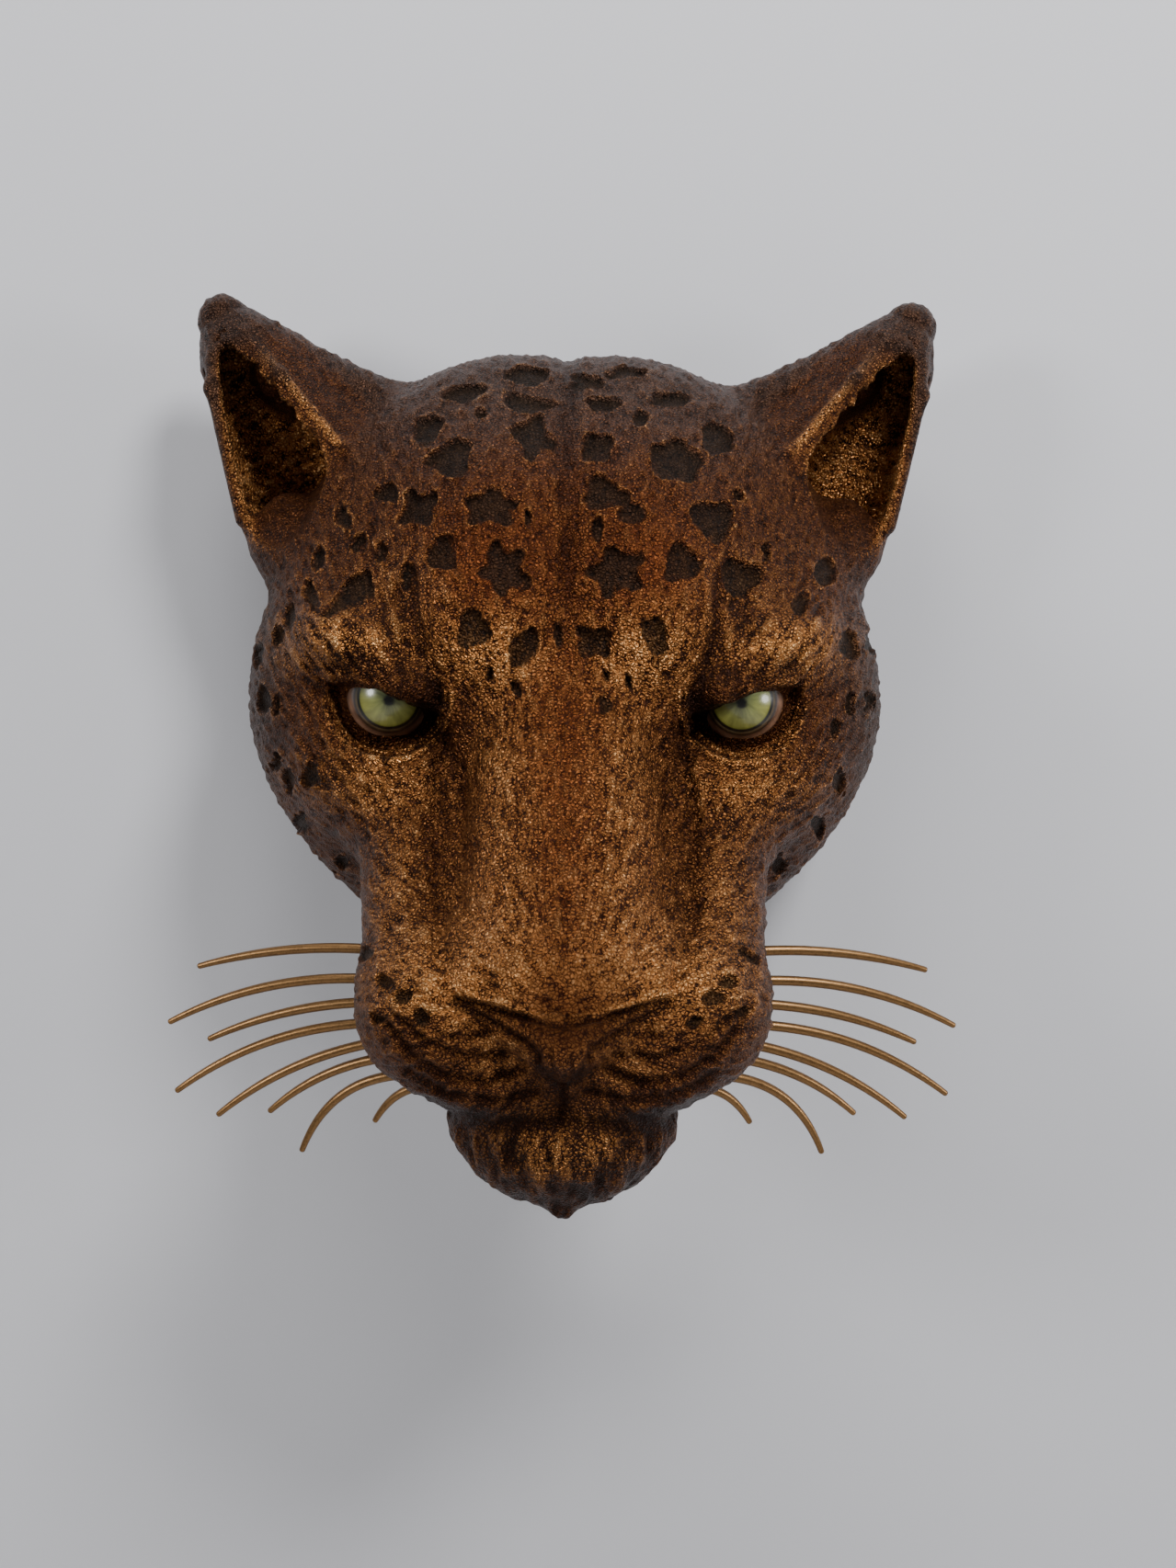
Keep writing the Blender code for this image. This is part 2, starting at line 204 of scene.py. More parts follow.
def ear(x, f, z):
    """A tall pointed cup, open forwards and outwards, with the small fold at its foot."""
    cup = smin(bar(x, f, z, EAR), bar(x, f, z, EAR_TIP), EAR_TIP_FILLET)
    cup = smax(cup, -ear_hollow(x, f, z), EAR_RIM)
    for rim in EAR_RIMS:
        cup = smin(cup, bar(x, f, z, rim), EAR_RIM_FILLET)
    return smin(cup, mass(x, f, z, EAR_FOLD), 10)


def nose(x, f, z, d):
    """Nose pad, upper lips, nostril slits and the cleft below the nose."""
    pad = smin(bar(x, f, z, NOSE_WING), bar(x, f, z, NOSE_STEM), 5)
    d = smin(d, pad, 2.5)
    d = smin(d, mass(x, f, z, LIP), 5)
    d = smax(d, -bar(x, f, z, NOSTRIL), 3)
    return smax(d, -bar(x, f, z, CLEFT), 3)


def head_field(x, f, z):
    """Distance to the head's surface, negative inside; both sides are alike."""
    x = np.sqrt(x * x + MIDLINE_SOFT)
    low_stretch = SKULL.r[2] / SKULL_LOW
    skull_z = np.where(z < SKULL.at[2], SKULL.at[2] + (z - SKULL.at[2]) * low_stretch, z)
    d = mass(x, f, skull_z, SKULL)
    for form, fillet in UPPER_MASSES:
        d = smin(d, mass(x, f, z, form), fillet)
    d = smin(d, bar(x, f, z, MUZZLE_SIDE), 16)
    d = smin(d, bar(x * x / (x + BRIDGE_FLAT), f, z, BRIDGE), 10)
    for form, fillet in LOWER_MASSES:
        d = smin(d, mass(x, f, z, form), fillet)
    d = smin(d, bar(x, f, z, CHIN_TUFT), 6)
    d = smax(d, -np.minimum(bar(x, f, z, FURROW_TOP), bar(x, f, z, FURROW_FOOT)), 8)
    d = smin(d, bar(x, f, z, EAR_ROOT), 12)
    d = smin(d, ear(x, f, z), 8)
    d = smin(d, np.minimum(bar(x, f, z, UPPER_LID[0]), bar(x, f, z, UPPER_LID[1])), 7)
    hollow = smax(mass(x, f, z, EYE_HOLLOW), z - lid_line(x), 1.0)
    d = smax(d, -hollow, 2.0)
    d = smin(d, smax(mass(x, f, z, LID_SHELL), z - lid_line(x) - 1.0, 1.0), 5.0)
    d = smax(d, -bar(x, f, z, EYE_CORNER), 3)
    return nose(x, f, z, d)


def head_stock(x, f, z):
    """The head with its flat back on the wall."""
    return np.maximum(head_field(x, f, z), -f)


def ramp(t, a, b):
    """0 below a, 1 above b, and a soft step between them."""
    t = np.clip((t - a) / (b - a), 0.0, 1.0)
    return t * t * (3.0 - 2.0 * t)


def bell(gap, wide):
    """1 on a line, fading to both sides of it over the width."""
    return np.exp(-(gap / wide) ** 2)


def blob(u, w, middle, size):
    """1 at a middle, fading sideways and up and down over the two sizes."""
    return np.exp(-((u - middle[0]) / size[0]) ** 2 - ((w - middle[1]) / size[1]) ** 2)


# Spots as seen from the front, drawn at the eyes' depth in millimetres: side, height,
# width, tallness, turn in degrees, number of lobes and how deep the lobes cut. The last ten
# are the pits of the whisker beds.
Spot = namedtuple("Spot", "u w wide tall turn lobes cut")
SPOTS = [Spot(*row) for row in (
    (-14.2, 137, 14.5, 5.3, 0, 2, 0.2), (-34.3, 131.1, 16.7, 4.3, 0, 2, 0.25),
    (-13.3, 127.7, 14.5, 5.9, 0, 3, 0.3), (-46.7, 118.8, 12.4, 7.4, 35, 2, 0.25),
    (-11.1, 116.6, 12.7, 12.7, 10, 4, 0.45), (-39.3, 109.2, 13.6, 10.5, 30, 3, 0.3),
    (-29.1, 124.6, 3.1, 3.1, 0, 2, 0.1), (-60.3, 97.1, 6.2, 6.2, 0, 3, 0.2),
    (-49.8, 92.5, 12.7, 10.5, 40, 4, 0.4), (-25.7, 93.1, 15.8, 11.4, 10, 5, 0.3),
    (-13.3, 89.4, 2.8, 6.2, 0, 2, 0.1), (-69.6, 80.4, 4, 6.2, -10, 2, 0.1),
    (-61.9, 77.6, 4.6, 6.2, 0, 3, 0.2), (-42.1, 77, 9.3, 10.5, 0, 3, 0.25),
    (-54.1, 69.6, 3.4, 8.4, -15, 2, 0.1), (-20.7, 71.8, 14.5, 15.5, 20, 5, 0.4),
    (-71.8, 63.4, 18.6, 8, 40, 3, 0.35), (-30.9, 51.7, 10.5, 12.7, 0, 3, 0.4),
    (-13.9, 45.5, 8.4, 13.6, -10, 2, 0.35), (-25.7, 36.2, 1.9, 3.7, 0, 2, 0),
    (-16.7, 31.9, 3.1, 4.3, 0, 2, 0.1), (-1.9, 49.8, 3.1, 8.4, 0, 2, 0),
    (6.5, 135.5, 8.4, 4.3, 0, 2, 0.2), (20.1, 138.3, 12.7, 3.7, 0, 2, 0.2),
    (11.8, 128, 10.5, 5.3, 0, 3, 0.3), (35, 129.9, 14.5, 4.3, 0, 2, 0.25),
    (25.1, 122.8, 4.6, 4.3, 0, 3, 0.2), (9.6, 113.5, 9.3, 9.3, 0, 4, 0.35),
    (36.8, 109.2, 15.8, 13.6, 0, 5, 0.2), (13, 97.7, 14.5, 10.5, -10, 3, 0.35),
    (22.3, 90.9, 10.5, 6.2, -15, 2, 0.3), (9.6, 86.6, 4.3, 6.2, 0, 2, 0.1),
    (49.5, 89.4, 12.7, 13.6, 20, 3, 0.35), (58.8, 97.7, 3.4, 3.4, 0, 2, 0.1),
    (50.4, 116.6, 8.4, 12.7, 30, 2, 0.3), (17, 71.8, 16.7, 15.8, 15, 5, 0.4),
    (39, 74.8, 10.5, 11.4, 10, 3, 0.3), (58.8, 70.5, 12.7, 11.4, 180, 3, 0.3),
    (68.4, 78.9, 2.5, 6.2, 10, 2, 0.1), (87.2, 71.8, 6.8, 9.3, 0, 2, 0.1),
    (78.9, 61.2, 4.9, 6.8, 0, 2, 0.1), (9.3, 47.6, 11.4, 10.5, 0, 4, 0.35),
    (29.7, 50.7, 8.4, 14.5, 10, 3, 0.35), (21.3, 35, 2.5, 4.3, 10, 2, 0),
    (13.3, 26.6, 3.7, 5.9, 0, 2, 0.1), (13.6, 36.2, 1.9, 3.7, 0, 2, 0),
    (95.6, 47.6, 5.6, 9.3, 0, 2, 0.15), (102.7, 48.6, 3.7, 8, 0, 2, 0.1),
    (96.5, 27.8, 3.7, 7.4, 0, 2, 0.1), (102.7, 27.8, 3.1, 6.8, 0, 2, 0.1),
    (92.5, 0.6, 3.7, 8, 0, 2, 0.1), (90.3, 19.5, 3.1, 6.2, 0, 2, 0.1),
    (85.1, -13.9, 4.3, 6.8, 10, 2, 0.1), (72.4, -26.6, 3.7, 4.9, 0, 2, 0.1),
    (-83.2, 75.8, 4.9, 8, 0, 2, 0.15), (-74.8, 89.4, 4.3, 7.4, 0, 2, 0.15),
    (-85.4, 63.4, 4.3, 8, 0, 2, 0.15), (-92.8, 55.1, 3.7, 8, 0, 2, 0.15),
    (-95.9, 48.6, 3.1, 6.8, 0, 2, 0.1), (-103.3, 42.4, 3.1, 8, 0, 2, 0.1),
    (-101.1, 27.8, 3.7, 8, 0, 2, 0.1), (-96.8, 25.7, 2.5, 6.2, 0, 2, 0.1),
    (-85.4, 2.8, 3.7, 6.8, 0, 2, 0.1), (-92.8, 0.6, 3.7, 7.4, 0, 2, 0.1),
    (-88.5, -13.9, 3.7, 6.8, -10, 2, 0.1), (-74.8, -27.5, 3.7, 4.9, 0, 2, 0.1),
    (-96.8, 6.8, 2.5, 6.2, 0, 2, 0.1), (-66.8, -57.8, 5.4, 3.4, 25, 2, 0.1),
    (-59.9, -66.3, 6.5, 4.2, -30, 2, 0.1), (-53.7, -71.5, 6.0, 4.4, -25, 2, 0.1),
    (-47.5, -78.7, 5.6, 3.6, -25, 2, 0.1), (62.2, -57.8, 5.4, 3.4, -25, 2, 0.1),
    (56.0, -66.3, 6.0, 4.0, 30, 2, 0.1), (51.3, -72.5, 6.8, 5.0, 25, 2, 0.1),
    (43.6, -80.3, 6.4, 3.8, 25, 2, 0.1), (60.8, -76.0, 5.0, 3.0, 30, 2, 0.1),
    (-62.0, -78.5, 4.6, 2.8, -30, 2, 0.1),
)]
# The width of a spot's walls, a value that is off every spot, and the cell in which one spot
# is strewn on the sides.
SPOT_WALL = 0.6
SPOT_FAR = -9.0
STREWN_CELL = 15.5

# Grooves cut into the clay, drawn on one half of the front and mirrored: their points, width,
# depth and how dark they are. The lines below them are drawn the same way.
Groove = namedtuple("Groove", "points wide deep dark")
GROOVES = [Groove(*row) for row in (
    (((40, 17), (42.5, -8), (42.5, -33), (41, -58), (38, -70)), 2.8, 1.6, 0.15),
    (((0, -81.5), (12, -79), (24, -75.5), (36.5, -72)), 1.2, 1.3, 0.7),
    (((36.5, -74), (32, -75.5), (17, -84.5), (10.5, -89), (8.2, -95), (4.3, -100.5), (0, -103)),
     1.3, 1.3, 0.8),
    (((0, 150), (0, 110), (0, 62)), 3.0, 0.9, 0.5),
    (((0, 62), (0, 0), (0, -60)), 3.0, 0.35, 0.2),
    (((0, -103), (0, -114)), 1.4, 1.2, 0.9),
    (((4, -91), (3.4, -99)), 0.9, 0.6, 0.3),
    (((0, -114.5), (20, -115), (36, -112.5), (46, -107)), 2.2, 1.2, 0.9),
    (((14, -96), (26, -100.5), (40, -98.5), (52, -91), (60, -80)), 1.5, 1.2, 0.6),
    (((20, -90.5), (32, -92), (46, -87), (58, -77)), 1.3, 0.95, 0.5),
    (((8, -104), (24, -107), (40, -104.5), (52, -97)), 1.4, 1.1, 0.6),
    (((27, -84), (38, -85), (50, -80)), 1.2, 0.5, 0.3),
    (((52, 70), (51, 54), (47.5, 40), (42, 27)), 2.2, 1.3, 0.8),
    (((57, 66), (55.5, 54), (52.5, 43)), 1.5, 0.9, 0.5),
    (((62, 62), (60, 52), (57, 44)), 1.3, 0.6, 0.4),
    (((43, 18), (38, 8), (34.5, -8)), 1.8, 0.7, 0.4),
)]
BRIDGE_EDGE = ((33, 22), (34.5, -8), (34.5, -33), (34, -55), (33, -66))
EYE_DRAWN = (59.6, 28.9)
NOSE_STEM_LINE = ((0, -95), (0, -87))
NOSE_WING_LINE = ((0, -85), (12, -82), (32, -74))
UPPER_LIP_LINE = ((0, -79.2), (12, -76.8), (24, -73.3), (36, -70))
LID_FOLD_LINE = ((41, 27), (47, 33.5), (60, 39.5), (72, 42), (80, 40))
LID_RING = 19.0
BAG_RINGS = (23.5, 27.5, 32.5)
ROD_R, ROD_TIP_R = 1.65, 1.0
# How a rod's tip is rounded: steps past its end and thickness there, as shares of its radius.
ROD_ROUNDING = ((0.35, 0.92), (0.65, 0.7), (0.8, 0.35))

# The glass eye by distance from its axis in millimetres: shares of the iris colour, then the
# colours of the rings around the iris.
IRIS_RINGS = (
    (0.0, (0.35, 0.4, 0.8)), (2.0, (0.5, 0.55, 0.9)), (5.0, (0.8, 0.85, 1.0)),
    (8.6, (1.0, 1.0, 1.0)), (9.3, (0.8, 0.8, 0.6)),
)
GLASS_RINGS = (
    (9.7, (0.006, 0.005, 0.004)), (10.3, (0.006, 0.005, 0.004)), (10.6, (0.085, 0.06, 0.03)),
    (11.0, (0.05, 0.03, 0.015)), (11.4, (0.006, 0.004, 0.003)), (11.9, (0.09, 0.045, 0.026)),
    (12.9, (0.18, 0.095, 0.058)), (13.8, (0.08, 0.040, 0.025)), (14.35, (0.008, 0.005, 0.003)),
)
PUPIL_R, PUPIL_SOFT, PUPIL_RISE = 2.1, 0.7, 0.9
CORNEA_SPAN = 0.66

# The block of clay that the head is meshed from, and the stage in metres.
HEAD_HALF, HEAD_LOW, HEAD_HIGH = 146.0, (-6.6, -140.0), (192.0, 192.0)
SHEET_SIZE = (4.0, 3.0, 1.0)
CAMERA_YAW, CAMERA_ROLL = -0.864, 0.4
LIGHT_AIM = (0.0, -0.08, 0.0)
Light = namedtuple("Light", "name place size power")
LIGHTS = (
    Light("main_light", (0.55, -0.95, 0.95), 0.4, 1.0),
    Light("top_light", (-0.15, -0.55, 1.25), 0.5, 0.45),
    Light("side_light", (1.2, -0.6, 0.1), 0.4, 0.35),
    Light("left_light", (-1.05, -0.85, 0.3), 0.4, 0.45),
)

# Where the patina is rubbed to gold, partly rubbed metal and partly painted highlight where light
# falls on the front-facing masses, and where it is red: side, height, half width, half height and
# strength.
Rub = namedtuple("Rub", "u w wide tall much")
RUBBED_AND_HIGHLIT = (
    Rub(76, 47, 22, 10, 0.75), Rub(28, 46, 20, 13, 0.75), Rub(64, 0, 22, 11, 0.6),
    Rub(25, -45, 14, 32, 0.6), Rub(46, -68, 20, 15, 0.75), Rub(17, -95, 22, 9, 0.25),
    Rub(0, -122, 28, 12, 0.75), Rub(22, 8, 9, 30, 0.35), Rub(48, 68, 20, 12, 0.3),
    Rub(56, -36, 10, 24, 0.4), Rub(0, -60, 16, 12, 0.4), Rub(0, -10, 18, 60, 0.55),
)
RED = (
    Rub(0, 96, 40, 34, 0.25), Rub(30, 72, 18, 20, 0.8), Rub(0, -4, 14, 66, 1.0),
    Rub(27, -30, 8, 30, 0.4),
)


def lattice(size, salt, *more):
    """Random numbers on a grid over the head, the same each run."""
    counts = np.ceil(GRAIN_SPAN / size).astype(int) + 4
    return np.random.default_rng(salt).random((*counts, *more), dtype=np.float32)


def strokes(points, flow, wide, long, salt, dabs=5):
    """Many small dabs up and down, each drawn out along the flow: combed clay."""
    table = lattice(long, salt, dabs, 4)
    place = ((points - GRAIN_LOW) / long + 2.0).astype(np.float32)
    flow = flow.astype(np.float32)
    base = place.astype(int)
    total = np.zeros(len(points), dtype=np.float32)
    for corner in np.ndindex(3, 3, 3):
        cell = base + np.array(corner) - 1
        seeds = table[cell[:, 0], cell[:, 1], cell[:, 2]]
        inside = place - cell.astype(np.float32)
        for dab in range(dabs):
            gap = (inside - seeds[:, dab, :3]) * np.float32(long)
            run = (gap * flow).sum(axis=1)
            off = (gap * gap).sum(axis=1) - run * run
            bump = (np.clip(1.0 - off / wide ** 2, 0.0, None) ** 2
                    * np.clip(1.0 - (run / long) ** 2, 0.0, None) ** 2)
            total += np.where(seeds[:, dab, 3] < 0.5, -bump, bump)
    return total.astype(float)


def patches(points, size, salt):
    """Soft blotches from 0 to 1, about the given size."""
    table = lattice(size, salt)
    place = (points - GRAIN_LOW) / size + 1.0
    base = place.astype(int)
    t = place - base
    t = t * t * (3.0 - 2.0 * t)
    total = np.zeros(len(points))
    for corner in np.ndindex(2, 2, 2):
        cell = base + np.array(corner)
        share = np.prod(np.where(np.array(corner) > 0, t, 1.0 - t), axis=1)
        total += share * table[cell[:, 0], cell[:, 1], cell[:, 2]]
    return total


def blotchy(points, size, salt):
    """Blotches with finer ones over them, from -1 to 1."""
    return (patches(points, size, salt) + 0.5 * patches(points, size * 0.47, salt + 1)
            + 0.25 * patches(points, size * 0.21, salt + 2)) / 0.875 - 1.0


def drawn(points):
    """Where points stand in the front drawing, at the eyes' depth."""
    near = (VIEW - EYE_PLANE) / (VIEW - points[:, 1])
    return points[:, 0] * near, points[:, 2] * near


def folded(points):
    """The x, f and z of points with both sides of the head laid on one."""
    return np.stack([np.abs(points[:, 0]), points[:, 1], points[:, 2]])


def line_distance(u, w, knots):
    """Distance in the front drawing to a line through the knots."""
    best = np.full(len(u), 1e9)
    for (au, aw), (bu, bw) in zip(knots[:-1], knots[1:]):
        du, dw = bu - au, bw - aw
        t = np.clip(((u - au) * du + (w - aw) * dw) / (du * du + dw * dw), 0.0, 1.0)
        best = np.minimum(best, np.hypot(u - au - t * du, w - aw - t * dw))
    return best


def rubbed(u, w, rubs):
    """How much a place lies in the given zones, from 0 to 1."""
    total = np.zeros(len(u))
    for rub in rubs:
        total += rub.much * blob(u, w, (rub.u, rub.w), (rub.wide, rub.tall))
    return np.clip(total, 0.0, 1.0)


def unit(vectors):
    """The same directions with a length of one."""
    return vectors / np.maximum(np.linalg.norm(vectors, axis=1), 1e-6)[:, None]


def combed(points, normals):
    """The lie of the fur: away from the nose over the whole head, fanned out above the eyes,
    up along the ears and across their hollows."""
    side = np.sign(points[:, 0] + 1e-9)

    def sided(x, f, z):
        return np.stack([side * x, np.full(len(side), f), np.full(len(side), z)], axis=1)

    half = folded(points)
    away = unit(points - np.array(MUZZLE_TIP))
    chin = ramp(-points[:, 2], 96.0, 108.0)[:, None] * ramp(points[:, 1], 95.0, 110.0)[:, None]
    away = away * (1.0 - chin) + unit(points - np.array(CHIN_ROOT)) * chin
    eye = sided(EYE[0] - 8.0, EYE[1], EYE[2] - 6.0)
    fan = blob(half[0], half[2], (70, 48), (24, 16))[:, None] * ramp(half[1], 60, 80)[:, None]
    away = away * (1.0 - fan) + unit(points - eye) * fan
    along = unit(sided(*(np.array(EAR.end, dtype=float) - np.array(EAR.start, dtype=float))))
    cup = bar(*half, EAR)
    eared = ramp(-cup, -4.0, 2.0)[:, None]
    inner = (bell(ear_hollow(*half), EAR_LINING) * ramp(-cup, -3.0, 0.0))[:, None]
    along = along * (1.0 - inner) + np.cross(along, normals) * inner
    flow = away * (1.0 - eared) + along * eared
    return unit(flow - normals * (flow * normals).sum(axis=1)[:, None])


def spotting(points, normals):
    """Masks of the sunk spots and of their raised edges."""
    u, w = drawn(points)
    facing = ramp(normals[:, 1], 0.02, 0.2) * ramp(points[:, 1], 34.0, 48.0)
    wander = [2.2 * blotchy(points, 6.5, salt) + 0.45 * blotchy(points, 3.0, salt + 2)
              for salt in (31, 35)]
    su, sw = u + wander[0], w + wander[1]
    front = np.full(len(points), SPOT_FAR)
    for spot in SPOTS:
        near = ((np.abs(u - spot.u) < spot.wide + 5)
                & (np.abs(w - spot.w) < spot.wide + spot.tall + 5))
        if not near.any():
            continue
        turn = math.radians(spot.turn)
        du, dw = su[near] - spot.u, sw[near] - spot.w
        du, dw = (du * math.cos(turn) + dw * math.sin(turn),
                  dw * math.cos(turn) - du * math.sin(turn))
        du, dw = du / (spot.wide / 2), dw / (spot.tall / 2)
        edge = 1.05 + 0.6 * spot.cut * (np.cos(spot.lobes * np.arctan2(dw, du) + spot.u) - 0.2)
        size = 0.25 * math.sqrt(spot.wide * spot.tall) + 0.25 * min(spot.wide, spot.tall)
        front[near] = np.maximum(front[near], (edge - np.hypot(du, dw)) * size)
    table = lattice(STREWN_CELL, 57, 4)
    shift = 2.2 * np.stack([blotchy(points, 7.0, salt) for salt in (61, 64, 67)], axis=1)
    place = (points + shift - GRAIN_LOW) / STREWN_CELL + 2.0
    base = place.astype(int)
    rest = np.full(len(points), SPOT_FAR)
    for corner in np.ndindex(3, 3, 3):
        at = base + np.array(corner) - 1
        seeds = table[at[:, 0], at[:, 1], at[:, 2]]
        gap = (place - at - 0.12 - 0.76 * seeds[:, :3]) * STREWN_CELL
        reach = 2.6 + 3.6 * seeds[:, 3]
        rest = np.maximum(rest, reach - np.linalg.norm(gap * (1.15, 1.15, 0.8), axis=1))
    bare = ramp(-bar(*folded(points), EAR), -3.0, 3.0)
    bare = np.maximum(bare, ramp(points[:, 1], 92.0, 108.0) * (points[:, 2] < 30.0))
    bare = np.maximum(bare, ramp(-points[:, 2], 58.0, 76.0))
    bare = np.maximum(bare, ramp(-points[:, 1], -2.5, -0.5))
    rest = np.where(bare > 0.5, SPOT_FAR, rest)
    spots = np.maximum(np.clip(front / SPOT_WALL + 0.5, 0.0, 1.0) * facing,
                       np.clip(rest / SPOT_WALL + 0.5, 0.0, 1.0) * ramp(1.0 - facing, 0.5, 0.9))
    gap = np.where(facing > 0.5, front, rest)
    return spots, bell(gap + 0.7, 0.45)


def lid_shade(m, w, eye_r):
    """Painted shadow in the fold between the brow and the upper lid."""
    return bell(line_distance(m, w, LID_FOLD_LINE), 3.2) * ramp(-eye_r, -25.0, -20.0)


def relief(points, normals, settings):
    """Height of the carving above the clay in millimetres, and the masks for the patina and for the
    painted shade, highlight and reflection.
    """
    # u is the side and w the height in the front drawing; m is u without its sign.
    u, w = drawn(points)
    m = np.abs(u)
    half = folded(points)
    flow = combed(points, normals)
    front = ramp(normals[:, 1], 0.0, 0.3)
    cup = bar(*half, EAR)
    eared = ramp(-cup, -4.0, 1.0)
    inner = bell(ear_hollow(*half), EAR_LINING) * ramp(-cup, -2.0, 1.5)
    rims = [bar(*half, rod) for rod in EAR_RIMS]
    rim = bell(np.minimum.reduce(rims), 1.6)
    bright_rim = bell(np.minimum(rims[0], rims[1]), 0.7)
    back = ramp(-points[:, 1], -3.0, -0.4)
    eye_r = np.hypot(m - EYE_DRAWN[0], w - EYE_DRAWN[1])
    under_lid = ramp(lid_line(half[0]) - half[2], -0.5, 1.0)
    socket = ramp(-eye_r, -20.0, -17.5) * ramp(points[:, 1], 85.0, 92.0) * under_lid
    stem = ramp(-line_distance(m, w, NOSE_STEM_LINE), -8.5, -7.0)
    wing = ramp(-line_distance(m, w, NOSE_WING_LINE), -4.2, -2.8)
    nose_pad = np.maximum(stem, wing) * ramp(points[:, 1], 150, 156)
    smooth = np.clip(back + socket + 0.8 * nose_pad, 0.0, 1.0)

    # Fur: short strokes all over, longer locks on the brow, the chin and in the ears.
    chin = ramp(-w, 112.0, 120.0) * ramp(points[:, 1], 95.0, 110.0)
    brow = blob(m, w, (72, 50), (26, 16)) * front
    fur = strokes(points, flow, 1.5, 3.6, 1)
    locks = strokes(points, flow, 2.2, 8.0, 3)
    pits = blotchy(points, 2.6, 71)
    fine = settings.fur * (0.6 * fur + 0.35 * pits) * (1.0 - 0.85 * eared + 0.75 * inner)
    fine += settings.fur * locks * (0.7 * chin + 0.8 * brow + 0.25 + 0.7 * inner - 0.25 * eared)
    fine *= 1.0 - smooth * 0.85
    fine *= 1.0 - 0.95 * rim

    # Grooves, eye bags, lid rims and lip.
    height = fine.copy()
    seams = np.zeros(len(points))
    for groove in GROOVES:
        cut = bell(line_distance(m, w, groove.points), groove.wide) * front
        height -= groove.deep * cut
        seams = np.maximum(seams, groove.dark * cut)
    height += 1.3 * front * bell(line_distance(m, w, BRIDGE_EDGE), 4.5)
    angle = np.arctan2(w - EYE_DRAWN[1], m - EYE_DRAWN[0])
    below = ramp(-angle, 0.1, 0.9) * ramp(angle, -3.0, -2.4) * front
    stray = 1.3 * blotchy(points, 9.0, 43)
    for ring in BAG_RINGS:
        height -= 0.7 * below * bell(eye_r - ring - stray, 1.1)
        height += 0.5 * below * bell(eye_r - ring - stray - 2.0, 1.2)
    under = ramp(-angle, -0.1, 0.25) + (np.abs(angle) > 3.0)
    lid = np.clip(under, 0.0, 1.0) * ramp(points[:, 1], 88.0, 94.0)
    height -= fine * 0.85 * lid * ramp(-np.abs(eye_r - LID_RING - 1.0), -4.0, -2.5)
    lid_edge = lid * (bell(eye_r - LID_RING, 0.8) + 0.8 * bell(eye_r - LID_RING - 2.5, 0.7))
    height += 1.4 * lid_edge
    # Painted shadow in the inner corner of the eye, beside the bridge.
    corner = blob(m, w, (45.5, 23), (5.5, 6.5)) * front
    # Painted shadow under the brow, over the upper lid.
    upper = lid_shade(m, w, eye_r)
    lip = bell(line_distance(m, w, UPPER_LIP_LINE), 1.4) * front
    height += 0.7 * lip

    # Spots, and the masks that lead the patina and the painted shade, highlight and reflection.
    spots, edges = spotting(points, normals)
    plain = np.clip(socket + nose_pad + eared, 0.0, 1.0)
    spots *= 1.0 - plain
    # Painted shadow on the spots' walls.
    shadow = 4.0 * spots * (1.0 - spots)
    edges *= (1.0 - spots) * (1.0 - np.clip(plain + back, 0.0, 1.0))
    height = height * (1.0 - 0.7 * spots) - settings.spot_depth * spots + 0.25 * edges
    height *= 1.0 - back
    # This mask is rubbed metal on the ear rims, lid rims and lip; on the front zones it is partly
    # rubbed metal and partly painted highlight where light falls; in the ear cups it is painted
    # light in their shaded lining.
    gold = (rubbed(m, w, RUBBED_AND_HIGHLIT) * front * (1.0 - eared) + 0.6 * bright_rim + 0.2 * rim
            + 0.75 * inner + 0.8 * lid_edge + 0.4 * lip)
    # The dark mask: the cast's own dark seams and nose pad; painted shadow on the spots' walls, in
    # the inner eye corner, in the fold under the brow, on the backs of the ears and on faces turned
    # down; less of it in the ear cups as painted light; and darker on the front from the lower lip
    # down.
    dark = (shadow + nose_pad * 0.1 + seams + 0.85 * corner + 0.5 * upper
            + 0.3 * eared * (1.0 - inner) * (1.0 - rim) - 0.5 * inner
            + ramp(-w, 98.0, 112.0) * front * 0.45 + ramp(0.1 - normals[:, 2], 0.5, 1.1) * 0.35)
    # Greyer on the crown, the far sides and faces turned from the front: partly a duller patina
    # there and partly a painted grey reflection.
    dull = ramp(w, 92.0, 140.0) + ramp(m, 88.0, 106.0) + (1.0 - front) - 2.0 * eared
    masks = {
        "spot": spots,
        "edge": edges,
        "lift": np.clip(0.5 + 0.6 * fine, 0.0, 1.0),
        "gold": np.clip(gold, 0.0, 1.0),
        "red": rubbed(m, w, RED) * front * (1.0 - eared),
        "dark": np.clip(dark, 0.0, 1.0),
        "dull": np.clip(dull, 0.0, 1.0),
    }
    return height, masks


